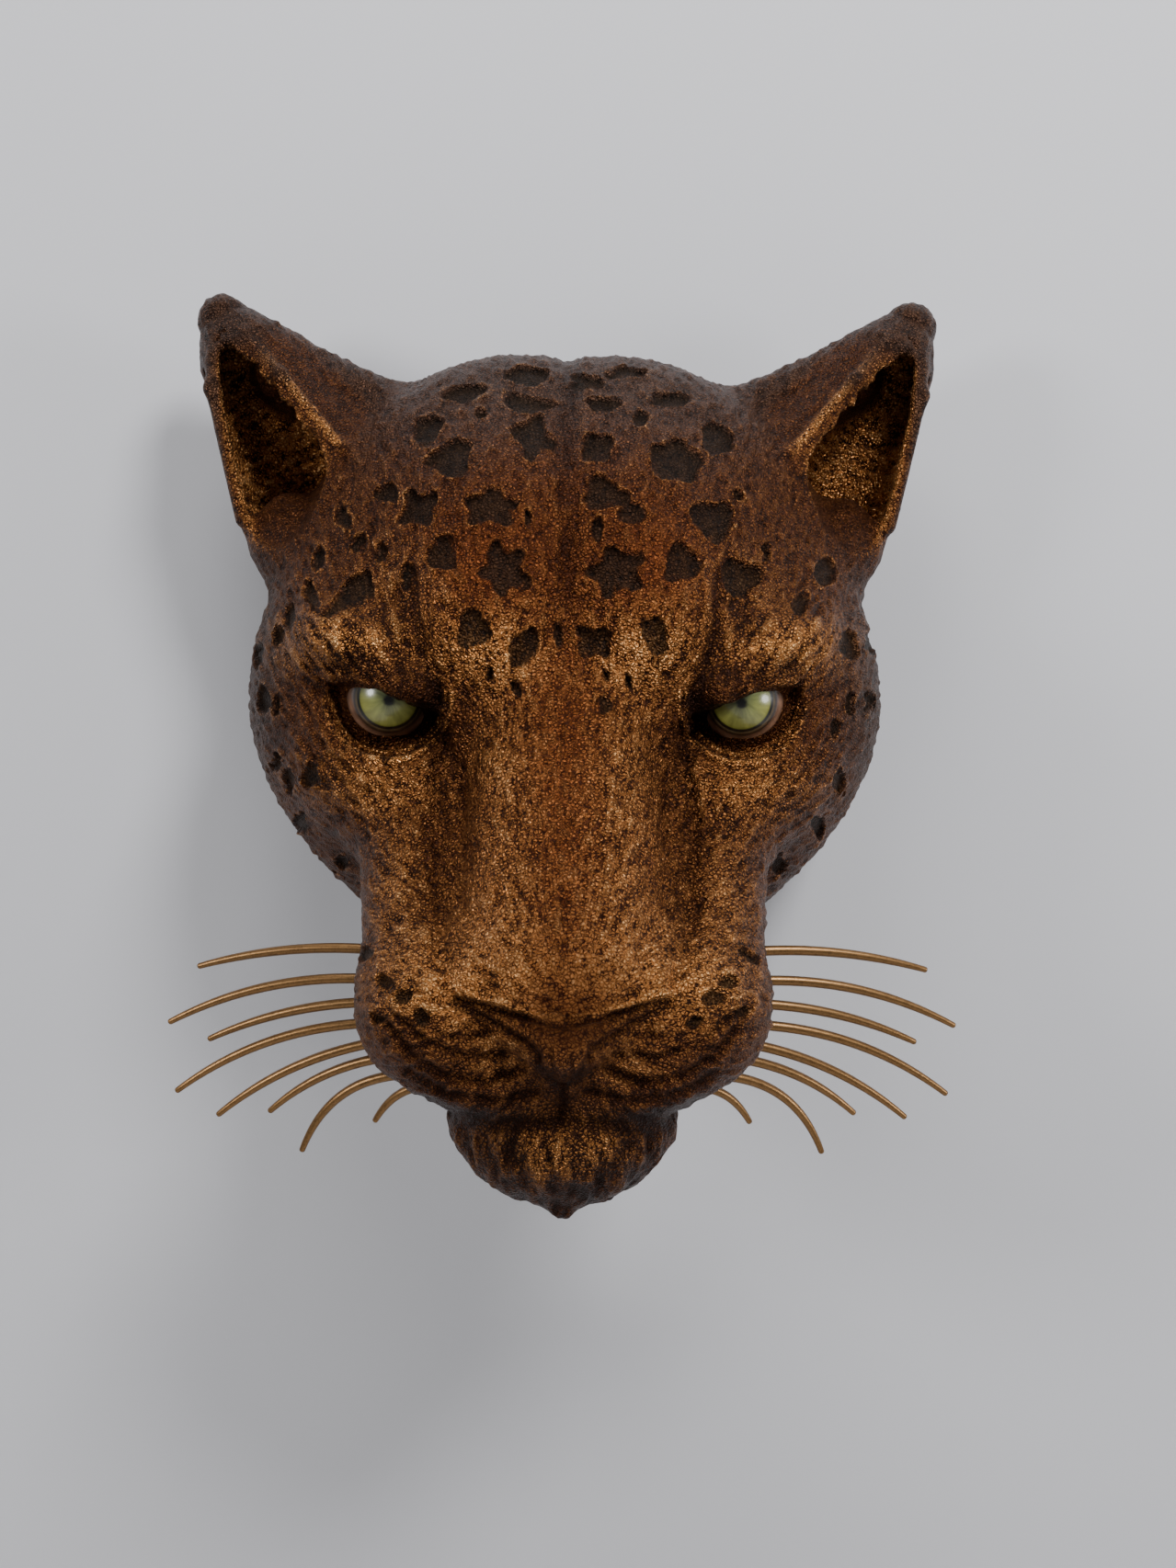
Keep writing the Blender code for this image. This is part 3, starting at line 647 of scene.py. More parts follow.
def skin(field, low, high, step):
    """Mesh a field: a point in each grid cell that the surface passes and a quad round each
    grid edge that it crosses."""
    axes = [np.arange(low[i], high[i] + step / 2, step) for i in range(3)]
    grid = np.stack(np.meshgrid(*axes, indexing="ij"), axis=-1)
    d = field(grid[..., 0], grid[..., 1], grid[..., 2])
    cells = tuple(n - 1 for n in d.shape)
    count = np.zeros(cells)
    total = np.zeros(cells + (3,))
    crossings = []
    for axis in range(3):
        u, v = (axis + 1) % 3, (axis + 2) % 3
        near, far = [slice(None)] * 3, [slice(None)] * 3
        near[axis], far[axis] = slice(None, -1), slice(1, None)
        a, b = d[tuple(near)], d[tuple(far)]
        crossed = (a < 0.0) != (b < 0.0)
        points = grid[tuple(near)].copy()
        points[..., axis] += step * np.where(crossed, a / np.where(crossed, a - b, 1.0), 0.0)
        points *= crossed[..., None]
        for du in (0, 1):
            for dv in (0, 1):
                part = [slice(None)] * 3
                part[u], part[v] = slice(du, du + cells[u]), slice(dv, dv + cells[v])
                count += crossed[tuple(part)]
                total += points[tuple(part)]
        crossings.append((crossed, a < 0.0))
    index = np.full(cells, -1)
    used = count > 0
    index[used] = np.arange(used.sum())
    verts = total[used] / count[used][:, None]
    quads = []
    for axis, (crossed, inward) in enumerate(crossings):
        u, v = (axis + 1) % 3, (axis + 2) % 3
        hits = np.argwhere(crossed)
        hits = hits[(hits[:, u] > 0) & (hits[:, u] < cells[u])
                    & (hits[:, v] > 0) & (hits[:, v] < cells[v])]
        corners = []
        for du, dv in ((1, 1), (0, 1), (0, 0), (1, 0)):
            at = hits.copy()
            at[:, u] -= du
            at[:, v] -= dv
            corners.append(index[tuple(at.T)])
        ring = np.stack(corners, axis=1)
        turn = inward[tuple(hits.T)]
        quads.append(np.where(turn[:, None], ring[:, ::-1], ring))
    return verts, np.concatenate(quads)


def slopes(field, points):
    """How the field grows along x, f and z at each point."""
    h = 0.05
    x, f, z = points.T
    return np.stack([
        field(x + h, f, z) - field(x - h, f, z),
        field(x, f + h, z) - field(x, f - h, z),
        field(x, f, z + h) - field(x, f, z - h)], axis=1) / (2.0 * h)


def settle(field, points, rounds):
    """Move points straight onto the field's surface."""
    for _ in range(rounds):
        d = field(*points.T)
        slope = slopes(field, points)
        steep = np.maximum((slope * slope).sum(axis=1), 0.2)
        points = points - slope * np.clip(d / steep, -0.8, 0.8)[:, None]
    return points


def placed(points):
    """Millimetres (x, f, z) to metres with the face along -Y."""
    return np.stack([points[:, 0], -points[:, 1], points[:, 2]], axis=1) * MM


def measured(mesh):
    """A mesh's points back in millimetres (x, f, z)."""
    flat = np.empty(len(mesh.vertices) * 3, dtype=np.float32)
    mesh.vertices.foreach_get("co", flat)
    points = flat.reshape(-1, 3).astype(float) / MM
    points[:, 1] *= -1.0
    return points


def outward(field, points):
    """Directions straight out of the surface."""
    return unit(slopes(field, points))


def applied(obj):
    """The object's mesh with its modifiers in it."""
    shape = obj.evaluated_get(bpy.context.evaluated_depsgraph_get())
    mesh = bpy.data.meshes.new_from_object(shape)
    old = obj.data
    obj.modifiers.clear()
    obj.data = mesh
    bpy.data.meshes.remove(old)
    return mesh


def new_object(name, data):
    """An object of the scene that holds the data."""
    obj = bpy.data.objects.new(name, data)
    bpy.context.scene.collection.objects.link(obj)
    return obj


def write_mask(mesh, name, values):
    """Keep a value for each vertex under a name that the shaders read."""
    layer = mesh.attributes.new(name, "FLOAT", "POINT")
    layer.data.foreach_set("value", values.astype(np.float32))


# Shader helpers and the node groups that several materials share.
def feed(tree, socket, value):
    """Give a socket another node's output, a number, a colour or a vector."""
    if isinstance(value, bpy.types.NodeSocket):
        tree.links.new(value, socket)
    elif isinstance(value, (int, float)):
        socket.default_value = value
    else:
        socket.default_value = (*value[:3], 1.0)[:len(socket.default_value)]


def node(tree, kind, place, inputs=None, **values):
    """A shader node with its settings, and its inputs fed from a table."""
    made = tree.nodes.new("ShaderNode" + kind)
    made.location = place
    for key, value in values.items():
        setattr(made, key, value)
    for key, value in (inputs or {}).items():
        feed(tree, made.inputs[key], value)
    return made


def mask_node(tree, name, place):
    """One of the values kept in the mesh."""
    return node(tree, "Attribute", place, attribute_name=name).outputs["Fac"]


def maths(tree, operation, a, b, place, clamp=False):
    """Two values joined by a sum, a product or the like."""
    made = node(tree, "Math", place, {0: a, 1: b}, operation=operation, use_clamp=clamp)
    return made.outputs[0]


def times(tree, a, b, place, clamp=False):
    return maths(tree, "MULTIPLY", a, b, place, clamp)


def plus(tree, a, b, place, clamp=False):
    return maths(tree, "ADD", a, b, place, clamp)


def span(tree, value, low, high, place, shape="SMOOTHSTEP"):
    """How far a value is on its way from low to high, from 0 to 1."""
    inputs = {"Value": value, "From Min": low, "From Max": high}
    return node(tree, "MapRange", place, inputs, interpolation_type=shape).outputs["Result"]


def mixed(tree, factor, a, b, place, blend="MIX"):
    """Two colours mixed by a factor."""
    inputs = {0: factor, 6: a, 7: b}
    return node(tree, "Mix", place, inputs, data_type="RGBA", blend_type=blend).outputs[2]


def bumped(tree, height, strength, distance, place):
    """The normals of a height."""
    inputs = {"Strength": strength, "Distance": distance, "Height": height}
    return node(tree, "Bump", place, inputs).outputs["Normal"]


def group_tree(name, inputs, outputs, ends):
    """A new group with its sockets, the outputs of its start and the inputs of its end."""
    tree = bpy.data.node_groups.new(name, "ShaderNodeTree")
    for label, start in inputs.items():
        kind = "NodeSocketFloat" if isinstance(start, float) else "NodeSocketColor"
        made = tree.interface.new_socket(label, in_out="INPUT", socket_type=kind)
        made.default_value = start
    for label, kind in outputs.items():
        tree.interface.new_socket(label, in_out="OUTPUT", socket_type=kind)
    given, result = tree.nodes.new("NodeGroupInput"), tree.nodes.new("NodeGroupOutput")
    given.location, result.location = (ends[0], 0), (ends[1], 0)
    return tree, given.outputs, result.inputs


def grain_group():
    """Cast grain: streaks combed away from the nose, grit and pits, as a height and a tone."""
    tree, given, result = group_tree(
        "Cast grain", {"Grain per metre": 900.0},
        {"Height": "NodeSocketFloat", "Tone": "NodeSocketFloat"}, (-1300, 700))
    size = given[0]
    place = node(tree, "TexCoord", (-1300, 250)).outputs["Object"]
    nose_tip = (MUZZLE_TIP[0] * MM, -MUZZLE_TIP[1] * MM, MUZZLE_TIP[2] * MM)
    gap = node(tree, "VectorMath", (-1100, 400), {0: place, 1: nose_tip},
               operation="SUBTRACT").outputs[0]
    heading = node(tree, "VectorMath", (-900, 500), {0: gap}, operation="NORMALIZE").outputs[0]
    fan = node(tree, "VectorMath", (-700, 500), {0: heading, "Scale": 95.0}, operation="SCALE")
    reach = node(tree, "VectorMath", (-900, 300), {0: gap}, operation="LENGTH").outputs["Value"]
    streaks = node(tree, "TexNoise", (-450, 450), {
        "Vector": fan.outputs[0], "W": times(tree, reach, 330.0, (-700, 300)),
        "Scale": 1.0, "Detail": 2.0}, noise_dimensions="4D")
    grit = node(tree, "TexNoise", (-450, 150), {
        "Vector": place, "Scale": size, "Detail": 3.0, "Roughness": 0.6, "Distortion": 0.5})
    pits = node(tree, "TexVoronoi", (-450, -200), {
        "Vector": place, "Scale": times(tree, size, 0.45, (-700, -200))})
    hole = span(tree, pits.outputs["Distance"], 0.02, 0.34, (-200, -200))
    cells = node(tree, "TexVoronoi", (-450, -500), {
        "Vector": place, "Scale": times(tree, size, 1.05, (-700, -500))},
        feature="DISTANCE_TO_EDGE")
    dent = span(tree, cells.outputs["Distance"], 0.0, 0.3, (-200, -500))
    mix = plus(tree, times(tree, streaks.outputs["Fac"], 0.42, (-200, 450)),
               times(tree, grit.outputs["Fac"], 0.42, (-200, 150)), (0, 300))
    mix = plus(tree, mix, times(tree, dent, 0.2, (0, -450)), (150, 300))
    pitted = plus(tree, times(tree, hole, 0.35, (0, -200)), 0.65, (150, -200))
    height = times(tree, mix, pitted, (300, 200))
    feed(tree, result["Height"], height)
    feed(tree, result["Tone"], span(tree, height, 0.34, 0.60, (450, -50), "LINEAR"))
    return tree


def patina_group():
    """Brown patina rubbed through to the metal: dark in the hollows, bright on the ridges, with a
    painted glint colour on the highest grains.
    """
    tree, given, result = group_tree(
        "Rubbed patina",
        {"Hollow": (0.013, 0.004, 0.001, 1.0), "Patina": (0.042, 0.010, 0.002, 1.0),
         "Bright": (0.42, 0.15, 0.03, 1.0), "Tip": (0.75, 0.46, 0.22, 1.0),
         "Ridge": 0.5, "Rub": 0.5},
        {"Color": "NodeSocketColor", "Bare metal": "NodeSocketFloat"}, (-700, 500))
    low = span(tree, given["Ridge"], 0.22, 0.56, (-400, 200))
    raised = times(tree, given["Rub"], 0.3, (-650, -250))
    reach = plus(tree, given["Ridge"], raised, (-500, -200))
    high = span(tree, reach, 0.46, 0.84, (-400, -100))
    bare = times(tree, high, given["Rub"], (-150, -150), clamp=True)
    base = mixed(tree, low, given["Hollow"], given["Patina"], (0, 200))
    worn = mixed(tree, bare, base, given["Bright"], (250, 100))
    # Painted glint: the highest grains of the bare metal turn pale, standing in for specular
    # glints.
    tip = span(tree, reach, 0.84, 1.14, (-400, -400))
    glint_share = times(tree, tip, bare, (100, -300))
    feed(tree, result["Color"], mixed(tree, glint_share, worn, given["Tip"], (380, 100)))
    feed(tree, result["Bare metal"], bare)
    return tree


def placed_group(tree, name, build, place, inputs):
    """The outputs of a shared group, which is built at its first use."""
    group = bpy.data.node_groups.get(name) or build()
    return node(tree, "Group", place, inputs, node_tree=group).outputs


def blank_material(name):
    """A new material, its tree and its shader's inputs."""
    mat = bpy.data.materials.new(name)
    mat.use_nodes = True
    return mat, mat.node_tree, mat.node_tree.nodes["Principled BSDF"].inputs


def bronze_material(settings):
    """The head's patina, led by the masks of the carving; some of the masks lay in painted shade,
    highlight and reflection.
    """
    mat, tree, shader = blank_material("bronze patina")
    grain = placed_group(tree, "Cast grain", grain_group, (-1500, -300), {0: settings.grain})
    tone = grain["Tone"]
    lift, gold, red, spot, edge, dark, dull = (
        mask_node(tree, name, (-1800, 600 - 160 * i))
        for i, name in enumerate(("lift", "gold", "red", "spot", "edge", "dark", "dull")))
    ridge = plus(tree, times(tree, lift, 0.55, (-1300, 150)),
                 times(tree, tone, 0.5, (-1300, 0)), (-1150, 100))
    # Less rubbing under the painted shade and the dark seams.
    sunk = times(tree, dark, 0.25, (-1300, -150))
    ridge = maths(tree, "SUBTRACT", ridge, sunk, (-1000, 100))
    # Rubbed metal, and painted highlight on the lit front zones.
    rub = plus(tree, times(tree, gold, 0.72, (-1300, 300)), 0.12, (-1150, 300), clamp=True)
    rub = maths(tree, "MAXIMUM", rub, times(tree, edge, 0.4, (-1150, 450)), (-1000, 300))
    patina = placed_group(tree, "Rubbed patina", patina_group, (-800, 200), {
        "Hollow": settings.hollow_and_shade_colour, "Patina": settings.patina_colour,
        "Bright": settings.rubbed_and_highlight_colour, "Tip": settings.glint_colour, "Ridge": ridge, "Rub": rub})
    warm = mixed(tree, tone, (0.028, 0.006, 0.001), settings.red_colour, (-700, 400))
    # Duller grey patina with a painted grey reflection, for the crown, the sides and faces turned
    # from the front.
    grey = mixed(tree, tone, (0.006, 0.003, 0.002), (0.052, 0.030, 0.021), (-700, -100))
    floor = mixed(tree, tone, (0.003, 0.002, 0.0013), (0.016, 0.010, 0.006), (-350, -150))
    colour = patina["Color"]
    # The dark coat lays the hollow colour as painted shade, and on the dark seams; the grey coat is
    # duller patina with a painted grey reflection.
    coats = ((red, 0.72, warm), (dull, 0.7, grey), (dark, 0.6, settings.hollow_and_shade_colour),
             (spot, 0.85, floor))
    for i, (mask, share, coat) in enumerate(coats):
        share = times(tree, mask, share, (150 * i - 600, 550))
        colour = mixed(tree, share, colour, coat, (150 * i - 500, 300))
    bare = patina["Bare metal"]
    metal = plus(tree, times(tree, bare, 0.1, (-400, -450)), 0.9, (-250, -450), clamp=True)
    shine = times(tree, bare, 0.15, (-400, -600))
    rough = maths(tree, "SUBTRACT", 0.4, shine, (-250, -600))
    rough = plus(tree, rough, times(tree, spot, 0.14, (-250, -750)), (-100, -600))
    feed(tree, shader["Base Color"], colour)
    feed(tree, shader["Metallic"], metal)
    feed(tree, shader["Roughness"], rough)
    feed(tree, shader["Normal"], bumped(tree, grain["Height"], 1.0, 0.002, (-200, -900)))
    return mat


def rod_material(settings):
    """Satin bronze wire, browner in its fine scratches."""
    mat, tree, shader = blank_material("whisker bronze")
    grain = placed_group(tree, "Cast grain", grain_group, (-900, -200), {0: 1400.0})
    ridge = plus(tree, times(tree, grain["Tone"], 0.2, (-800, 0)), 0.55, (-650, 0))
    patina = placed_group(tree, "Rubbed patina", patina_group, (-500, 200), {
        "Hollow": (0.03, 0.017, 0.01), "Patina": settings.rod_colour,
        "Bright": (0.5, 0.28, 0.11), "Ridge": ridge, "Rub": 0.3})
    feed(tree, shader["Base Color"], patina["Color"])
    feed(tree, shader["Metallic"], 0.85)
    feed(tree, shader["Roughness"], 0.36)
    feed(tree, shader["Normal"], bumped(tree, grain["Height"], 0.25, 0.0002, (-200, -300)))
    return mat


def eye_material(settings):
    """A glass eye: a streaked iris between dark rings, with a pupil, a brown surround and a painted
    shadow of the lid and brow over its upper part.
    """
    mat, tree, shader = blank_material("eye glass")
    off = mask_node(tree, "off_axis", (-1200, 200))
    bands = node(tree, "ValToRGB", (-800, 200), {"Fac": off})
    iris = [(r, [tone * share for tone, share in zip(settings.iris_colour, shares)])
            for r, shares in IRIS_RINGS]
    rings = [*iris, *GLASS_RINGS]
    stops = bands.color_ramp.elements
    for i, (r, colour) in enumerate((rings[0], rings[-1])):
        stops[i].position, stops[i].color = r / EYE_R, (*colour, 1.0)
    for r, colour in rings[1:-1]:
        stops.new(r / EYE_R).color = (*colour, 1.0)
    around = times(tree, mask_node(tree, "around", (-1400, -300)), 26.0, (-1200, -300))
    outwards = times(tree, off, 3.0, (-1200, -450))
    joined = node(tree, "CombineXYZ", (-1000, -200), {0: around, 1: outwards}).outputs[0]
    streaks = node(tree, "TexNoise", (-800, -200), {
        "Vector": joined, "Scale": 1.0, "Detail": 3.0}, noise_dimensions="2D").outputs["Fac"]
    shade = plus(tree, times(tree, streaks, 0.9, (-600, -200)), 0.5, (-450, -200))
    tint = node(tree, "CombineXYZ", (-300, -200), {0: shade, 1: shade, 2: shade}).outputs[0]
    colour = mixed(tree, 1.0, bands.outputs["Color"], tint, (-200, 100), "MULTIPLY")
    # Painted shadow of the lid and brow, laid over the eye's upper part.
    shaded = mixed(tree, 1.0, colour, (0.42, 0.46, 0.50), (-100, -100), "MULTIPLY")
    colour = mixed(tree, mask_node(tree, "upward", (-1200, -100)), colour, shaded, (0, 100))
    pupil = mask_node(tree, "pupil", (0, 300))
    feed(tree, shader["Base Color"], mixed(tree, pupil, colour, (0.002, 0.002, 0.0015), (150, 150)))
    feed(tree, shader["Roughness"], 0.28)
    feed(tree, shader["IOR"], 1.5)
    feed(tree, shader["Coat Weight"], 0.25)
    feed(tree, shader["Coat Roughness"], 0.04)
    return mat


def paint_material(name, colour, roughness):
    """Matt paint."""
    mat, tree, shader = blank_material(name)
    feed(tree, shader["Base Color"], colour)
    feed(tree, shader["Roughness"], roughness)
    return mat


def wall_material(colour):
    """Matt wall paint that is clear from behind, so that the back can be looked at."""
    mat = paint_material("wall paint", colour, 0.9)
    tree = mat.node_tree
    choice = node(tree, "MixShader", (300, 100), {
        0: node(tree, "NewGeometry", (0, 300)).outputs["Backfacing"],
        1: tree.nodes["Principled BSDF"].outputs[0],
        2: node(tree, "BsdfTransparent", (0, -300)).outputs[0]})
    feed(tree, tree.nodes["Material Output"].inputs["Surface"], choice.outputs[0])
    return mat


def colour_setting(name, about, start):
    """A colour among the settings."""
    return FloatVectorProperty(name=name, description=about, default=start, subtype="COLOR",
                               min=0.0, max=1.0)


class LeopardHeadSettings(bpy.types.PropertyGroup):
    grid: FloatProperty(name="Clay grid", description="Cell of the first mesh, in millimetres",
                        default=2.9, min=1.8, max=8.0)
    faces: IntProperty(name="Triangles", description="Triangles that the finished head keeps",
                       default=192000, min=20000)
    fur: FloatProperty(name="Fur height", description="Height of the combed fur, in millimetres",
                       default=0.6, min=0.0, max=2.0)
    spot_depth: FloatProperty(name="Spot depth",
                              description="How far the spots are sunk, in millimetres",
                              default=1.5, min=0.0)
    grain: FloatProperty(name="Grain", description="Grains of the cast surface per metre",
                         default=820.0, min=1.0)
    patina_colour: colour_setting("Patina", "Colour of the brown patina", (0.045, 0.0112, 0.0025))
    # The patina's hollows; also laid as painted shade by the dark mask.
    hollow_and_shade_colour: colour_setting("Hollows and shade", "Colour left in the hollows", (0.012, 0.0031, 0.0007))
    red_colour: colour_setting("Red patina", "Colour of the red patina on the crown and nose",
                               (0.150, 0.036, 0.008))
    # Painted glints: a pale colour on the highest grains of the bare metal.
    glint_colour: colour_setting("Painted glints", "Colour of the highest grains", (0.65, 0.385, 0.17))
    # The rubbed metal, also laid as painted highlight on the lit front zones.
    rubbed_and_highlight_colour: colour_setting("Rubbed metal and highlight", "Colour of the rubbed metal", (0.45, 0.186, 0.052))


class LeopardTrimSettings(bpy.types.PropertyGroup):
    iris_colour: colour_setting("Iris", "Colour of the iris", (0.19, 0.19, 0.045))
    cornea: FloatProperty(name="Cornea", description="Swell of the glass over the iris",
                          default=0.0007, unit="LENGTH", min=0.0)
    rod_colour: colour_setting("Whisker bronze", "Colour of the whisker rods",
                               (0.062, 0.029, 0.010))
    rod_sides: IntProperty(name="Whisker sides", description="Sides of a whisker rod",
                           default=14, min=6)


class LeopardStageSettings(bpy.types.PropertyGroup):
    wall_colour: colour_setting("Wall", "Colour of the wall", (0.44, 0.44, 0.462))
    floor_drop: FloatProperty(name="Floor", description="Height of the floor below the origin",
                              default=-0.75, unit="LENGTH")
    key_power: FloatProperty(name="Main light", description="Power of the main light",
                             default=24.0, unit="POWER", min=0.0)


class OBJECT_OT_leopard_head(bpy.types.Operator):
    """Mesh the clay, carve the fur and spots into it, and give it its patina"""
    bl_idname = "object.leopard_head"
    bl_label = "Cast head"

    def execute(self, context):
        settings = context.scene.leopard_head
        step = settings.grid * 1.0
        half = math.ceil(HEAD_HALF / step) * step
        verts, quads = skin(head_stock, (-half, *HEAD_LOW), (half, *HEAD_HIGH), step)
        verts = settle(head_stock, verts, 2)
        rough = bpy.data.meshes.new("head_clay")
        rough.from_pydata(placed(verts).tolist(), [], quads.tolist())
        obj = new_object("head_cast", rough)
        finer = obj.modifiers.new("Finer", "SUBSURF")
        finer.subdivision_type = "SIMPLE"
        finer.levels = finer.render_levels = 2
        mesh = applied(obj)
        points = settle(head_stock, measured(mesh), 1)
        normals = outward(head_stock, points)
        height, _ = relief(points, normals, settings)
        carved = points + normals * height[:, None]
        carved[:, 1] = np.maximum(carved[:, 1], 0.0)
        mesh.vertices.foreach_set("co", placed(carved).astype(np.float32).ravel())
        mesh.update()
        thin = obj.modifiers.new("Thin", "DECIMATE")
        thin.ratio = min(1.0, settings.faces / (2.0 * len(mesh.polygons)))
        mesh = applied(obj)
        points = measured(mesh)
        clay = settle(head_stock, points, 1)
        _, masks = relief(clay, outward(head_stock, clay), settings)
        for name, values in masks.items():
            write_mask(mesh, name, values)
        bm = bmesh.new()
        bm.from_mesh(mesh)
        bmesh.ops.recalc_face_normals(bm, faces=bm.faces)
        bm.to_mesh(mesh)
        bm.free()
        mesh.shade_smooth()
        mesh.materials.clear()
        mesh.materials.append(bronze_material(settings))
        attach(obj, "root")
        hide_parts("head")
        return {"FINISHED"}


class OBJECT_OT_leopard_eyes(bpy.types.Operator):
    """Blow the two glass eyes and turn them to the viewer"""
    bl_idname = "object.leopard_eyes"
    bl_label = "Glass eyes"

    def execute(self, context):
        settings = context.scene.leopard_trim
        mat = eye_material(settings)
        for side, sign in SIDES:
            centre = Vector((sign * EYE[0], -EYE[1], EYE[2])) * MM
            gaze = (Vector((0.0, -VIEW * MM, 0.0)) - centre).normalized()
            bm = bmesh.new()
            bmesh.ops.create_uvsphere(bm, u_segments=96, v_segments=64, radius=EYE_R * MM)
            turn = gaze.to_track_quat("Z", "Y").to_matrix().to_4x4()
            masks = {name: [] for name in ("off_axis", "around", "upward", "pupil")}
            for vert in bm.verts:
                local = vert.co / (EYE_R * MM)
                flat = math.hypot(local.x, local.y)
                seen = local.z > 0.0
                masks["off_axis"].append(flat if seen else 1.0)
                masks["around"].append(math.atan2(local.y, local.x) / math.tau)
                up, aside = local.y * EYE_R + PUPIL_RISE, local.x * EYE_R
                dark = min(1.0, max(0.0, (PUPIL_R - math.hypot(up, aside)) / PUPIL_SOFT))
                trail = 0.4 * math.exp(-(aside / 1.6) ** 2) * (1.0 if -5.0 < up < 0.0 else 0.0)
                masks["pupil"].append(max(dark, trail) if seen else 0.0)
                swell = max(0.0, 1.0 - (flat / CORNEA_SPAN) ** 2) if seen else 0.0
                vert.co *= 1.0 + settings.cornea / (EYE_R * MM) * swell ** 1.5
                vert.co = turn @ vert.co
                # Painted shadow of the lid and brow: the eye's upper part takes a darker colour.
                height = vert.co.z / (EYE_R * MM)
                masks["upward"].append(min(1.0, max(0.0, (height + 0.15) * 3.0)))
                vert.co += centre
            mesh = bpy.data.meshes.new("eye_ball_" + side)
            bm.to_mesh(mesh)
            bm.free()
            for name, values in masks.items():
                write_mask(mesh, name, np.array(values))
            mesh.shade_smooth()
            mesh.materials.append(mat)
            obj = new_object("eye_ball_" + side, mesh)
            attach(obj, "root")
            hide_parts("eye_" + side)
        return {"FINISHED"}


def whisker_path(whisker, sign):
    """Middle line of a whisker: in its hole, out through the skin, and on to the tip."""
    z, f = whisker.root_z, whisker.root_f
    inside, outside = 20.0, 110.0
    for _ in range(40):
        middle = (inside + outside) / 2.0
        if head_field(np.array([middle]), np.array([float(f)]), np.array([z]))[0] < 0.0:
            inside = middle
        else:
            outside = middle
    root = np.array([inside, f, z])
    tip = np.array([whisker.tip_x, f - WHISKER_SWEEP, whisker.tip_z])
    run = tip - root
    up = np.array([-run[2], 0.0, run[0]]) / np.hypot(run[0], run[2])
    t = np.linspace(0.0, 1.0, 25)[:, None]
    path = root + run * t + up * whisker.arch * 4.0 * t * (1.0 - t)
    start = path[0] - path[1]
    buried = root + start / np.linalg.norm(start) * WHISKER_BURIED
    return placed(np.vstack([buried, path]) * (sign, 1.0, 1.0))


class OBJECT_OT_leopard_whiskers(bpy.types.Operator):
    """Draw the sixteen whisker rods, each tapered to a rounded tip"""
    bl_idname = "object.leopard_whiskers"
    bl_label = "Whiskers"

    def execute(self, context):
        settings = context.scene.leopard_trim
        mat = rod_material(settings)
        for side, sign in SIDES:
            for number, whisker in enumerate(WHISKERS, start=1):
                path = whisker_path(whisker, sign)
                obj = self.rod(f"whisker_rod_{side}_{number}", path, settings.rod_sides)
                obj.data.materials.append(mat)
                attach(obj, "root")
                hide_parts(f"whisker_{side}_{number}")
        return {"FINISHED"}

    def rod(self, name, path, sides):
        """A round rod along a path, thinning to its rounded tip"""
        bm = bmesh.new()
        count = len(path)
        last = Vector(path[-1] - path[-2]).normalized()
        radii = [ROD_R + (ROD_TIP_R - ROD_R) * (i / (count - 1)) ** 2.5 for i in range(count)]
        points = [Vector(p) for p in path]
        for step, share in ROD_ROUNDING:
            points.append(points[count - 1] + last * ROD_TIP_R * step * MM)
            radii.append(ROD_TIP_R * share)
        rings = []
        for i, point in enumerate(points):
            along = (points[min(i + 1, len(points) - 1)] - points[max(i - 1, 0)]).normalized()
            wide = along.cross(Vector((0.0, 1.0, 0.0))).normalized()
            deep = along.cross(wide)
            turns = [math.tau * j / sides for j in range(sides)]
            ring = [point + radii[i] * MM * (math.cos(a) * wide + math.sin(a) * deep)
                    for a in turns]
            rings.append([bm.verts.new(place) for place in ring])
        for low, high in zip(rings[:-1], rings[1:]):
            for j in range(sides):
                k = (j + 1) % sides
                bm.faces.new((low[j], low[k], high[k], high[j]))
        bm.faces.new(rings[0])
        bm.faces.new(rings[-1])
        bmesh.ops.recalc_face_normals(bm, faces=bm.faces)
        mesh = bpy.data.meshes.new(name)
        bm.to_mesh(mesh)
        bm.free()
        mesh.shade_smooth()
        return new_object(name, mesh)


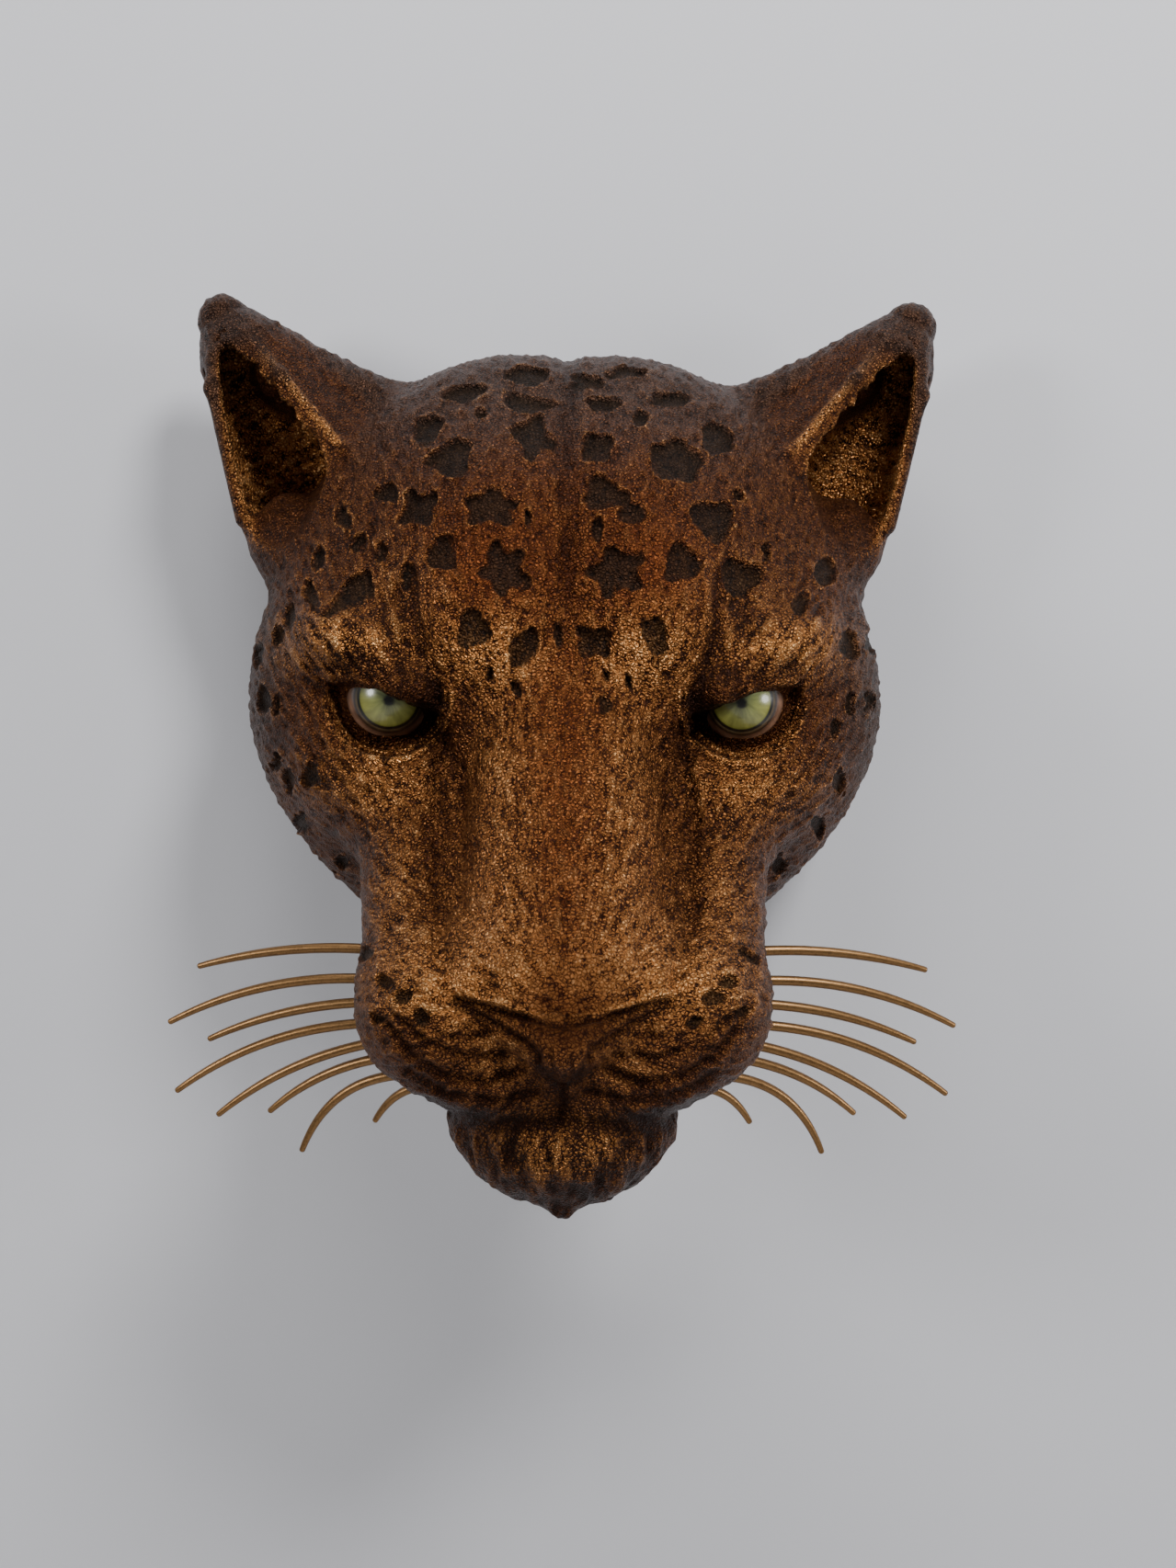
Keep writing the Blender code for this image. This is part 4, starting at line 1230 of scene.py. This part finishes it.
class OBJECT_OT_leopard_stage(bpy.types.Operator):
    """Set up the wall, the floor, the soft lights and the camera"""
    bl_idname = "object.leopard_stage"
    bl_label = "Stage"

    def execute(self, context):
        settings = context.scene.leopard_stage
        drop = settings.floor_drop
        wall = wall_material(settings.wall_colour)
        self.sheet("wall", wall, (0.0, 0.0004, 1.5 + drop), (math.pi / 2, 0.0, 0.0))
        floor = paint_material("floor paint", (0.62, 0.61, 0.60), 0.8)
        self.sheet("floor", floor, (0.0, -1.5, drop), (0.0, 0.0, 0.0))
        for light in LIGHTS:
            lamp = bpy.data.lights.new(light.name, "AREA")
            lamp.shape = "DISK"
            lamp.size = light.size
            lamp.energy = settings.key_power * light.power
            obj = new_object(light.name, lamp)
            obj.location = light.place
            aim = Vector(LIGHT_AIM) - Vector(light.place)
            obj.rotation_euler = aim.to_track_quat("-Z", "Y").to_euler()
        world = bpy.data.worlds.new("soft studio")
        world.use_nodes = True
        glow = world.node_tree.nodes["Background"].inputs
        glow["Color"].default_value = (0.86, 0.88, 0.92, 1.0)
        glow["Strength"].default_value = 0.15
        context.scene.world = world
        camera = bpy.data.cameras.new("camera")
        camera.lens = 35.0
        camera.sensor_width = 36.0
        camera.clip_start = 0.05
        obj = new_object("camera", camera)
        turn = (Matrix.Rotation(math.radians(CAMERA_YAW), 4, "Z")
                @ Matrix.Rotation(math.pi / 2, 4, "X")
                @ Matrix.Rotation(math.radians(CAMERA_ROLL), 4, "Z"))
        obj.matrix_world = Matrix.Translation((0.0, -VIEW * MM, 0.0)) @ turn
        context.scene.camera = obj
        return {"FINISHED"}

    def sheet(self, name, mat, place, turn):
        """A flat sheet of the stage"""
        bm = bmesh.new()
        bmesh.ops.create_grid(bm, x_segments=1, y_segments=1, size=0.5)
        bmesh.ops.scale(bm, verts=bm.verts, vec=SHEET_SIZE)
        mesh = bpy.data.meshes.new(name)
        bm.to_mesh(mesh)
        bm.free()
        mesh.materials.append(mat)
        obj = new_object(name, mesh)
        obj.location = place
        obj.rotation_euler = turn


class VIEW3D_PT_leopard(bpy.types.Panel):
    """The leopard head's pieces and settings"""
    bl_label = "Leopard Head"
    bl_space_type = "VIEW_3D"
    bl_region_type = "UI"
    bl_category = "Leopard"

    def draw(self, context):
        layout = self.layout
        for _, label in SETTINGS:
            group = getattr(context.scene, label)
            box = layout.box()
            for name in group.bl_rna.properties.keys():
                if name not in {"rna_type", "name"}:
                    box.prop(group, name)
        for cls in OPERATORS:
            layout.operator(cls.bl_idname)


SETTINGS = (
    (LeopardHeadSettings, "leopard_head"),
    (LeopardTrimSettings, "leopard_trim"),
    (LeopardStageSettings, "leopard_stage"),
)
OPERATORS = (OBJECT_OT_leopard_stage, OBJECT_OT_leopard_eyes, OBJECT_OT_leopard_whiskers,
             OBJECT_OT_leopard_head)


def register():
    """Make the settings, the operators and the panel known"""
    for cls, name in SETTINGS:
        bpy.utils.register_class(cls)
        setattr(bpy.types.Scene, name, PointerProperty(type=cls))
    for cls in (*OPERATORS, VIEW3D_PT_leopard):
        bpy.utils.register_class(cls)


def unregister():
    """Take them away again"""
    for cls in (VIEW3D_PT_leopard, *reversed(OPERATORS)):
        bpy.utils.unregister_class(cls)
    for cls, name in reversed(SETTINGS):
        delattr(bpy.types.Scene, name)
        bpy.utils.unregister_class(cls)


def main():
    """Build everything."""
    register()
    bpy.ops.object.leopard_stage()
    bpy.ops.object.leopard_eyes()
    bpy.ops.object.leopard_whiskers()
    bpy.ops.object.leopard_head()


if __name__ == "__main__":
    main()
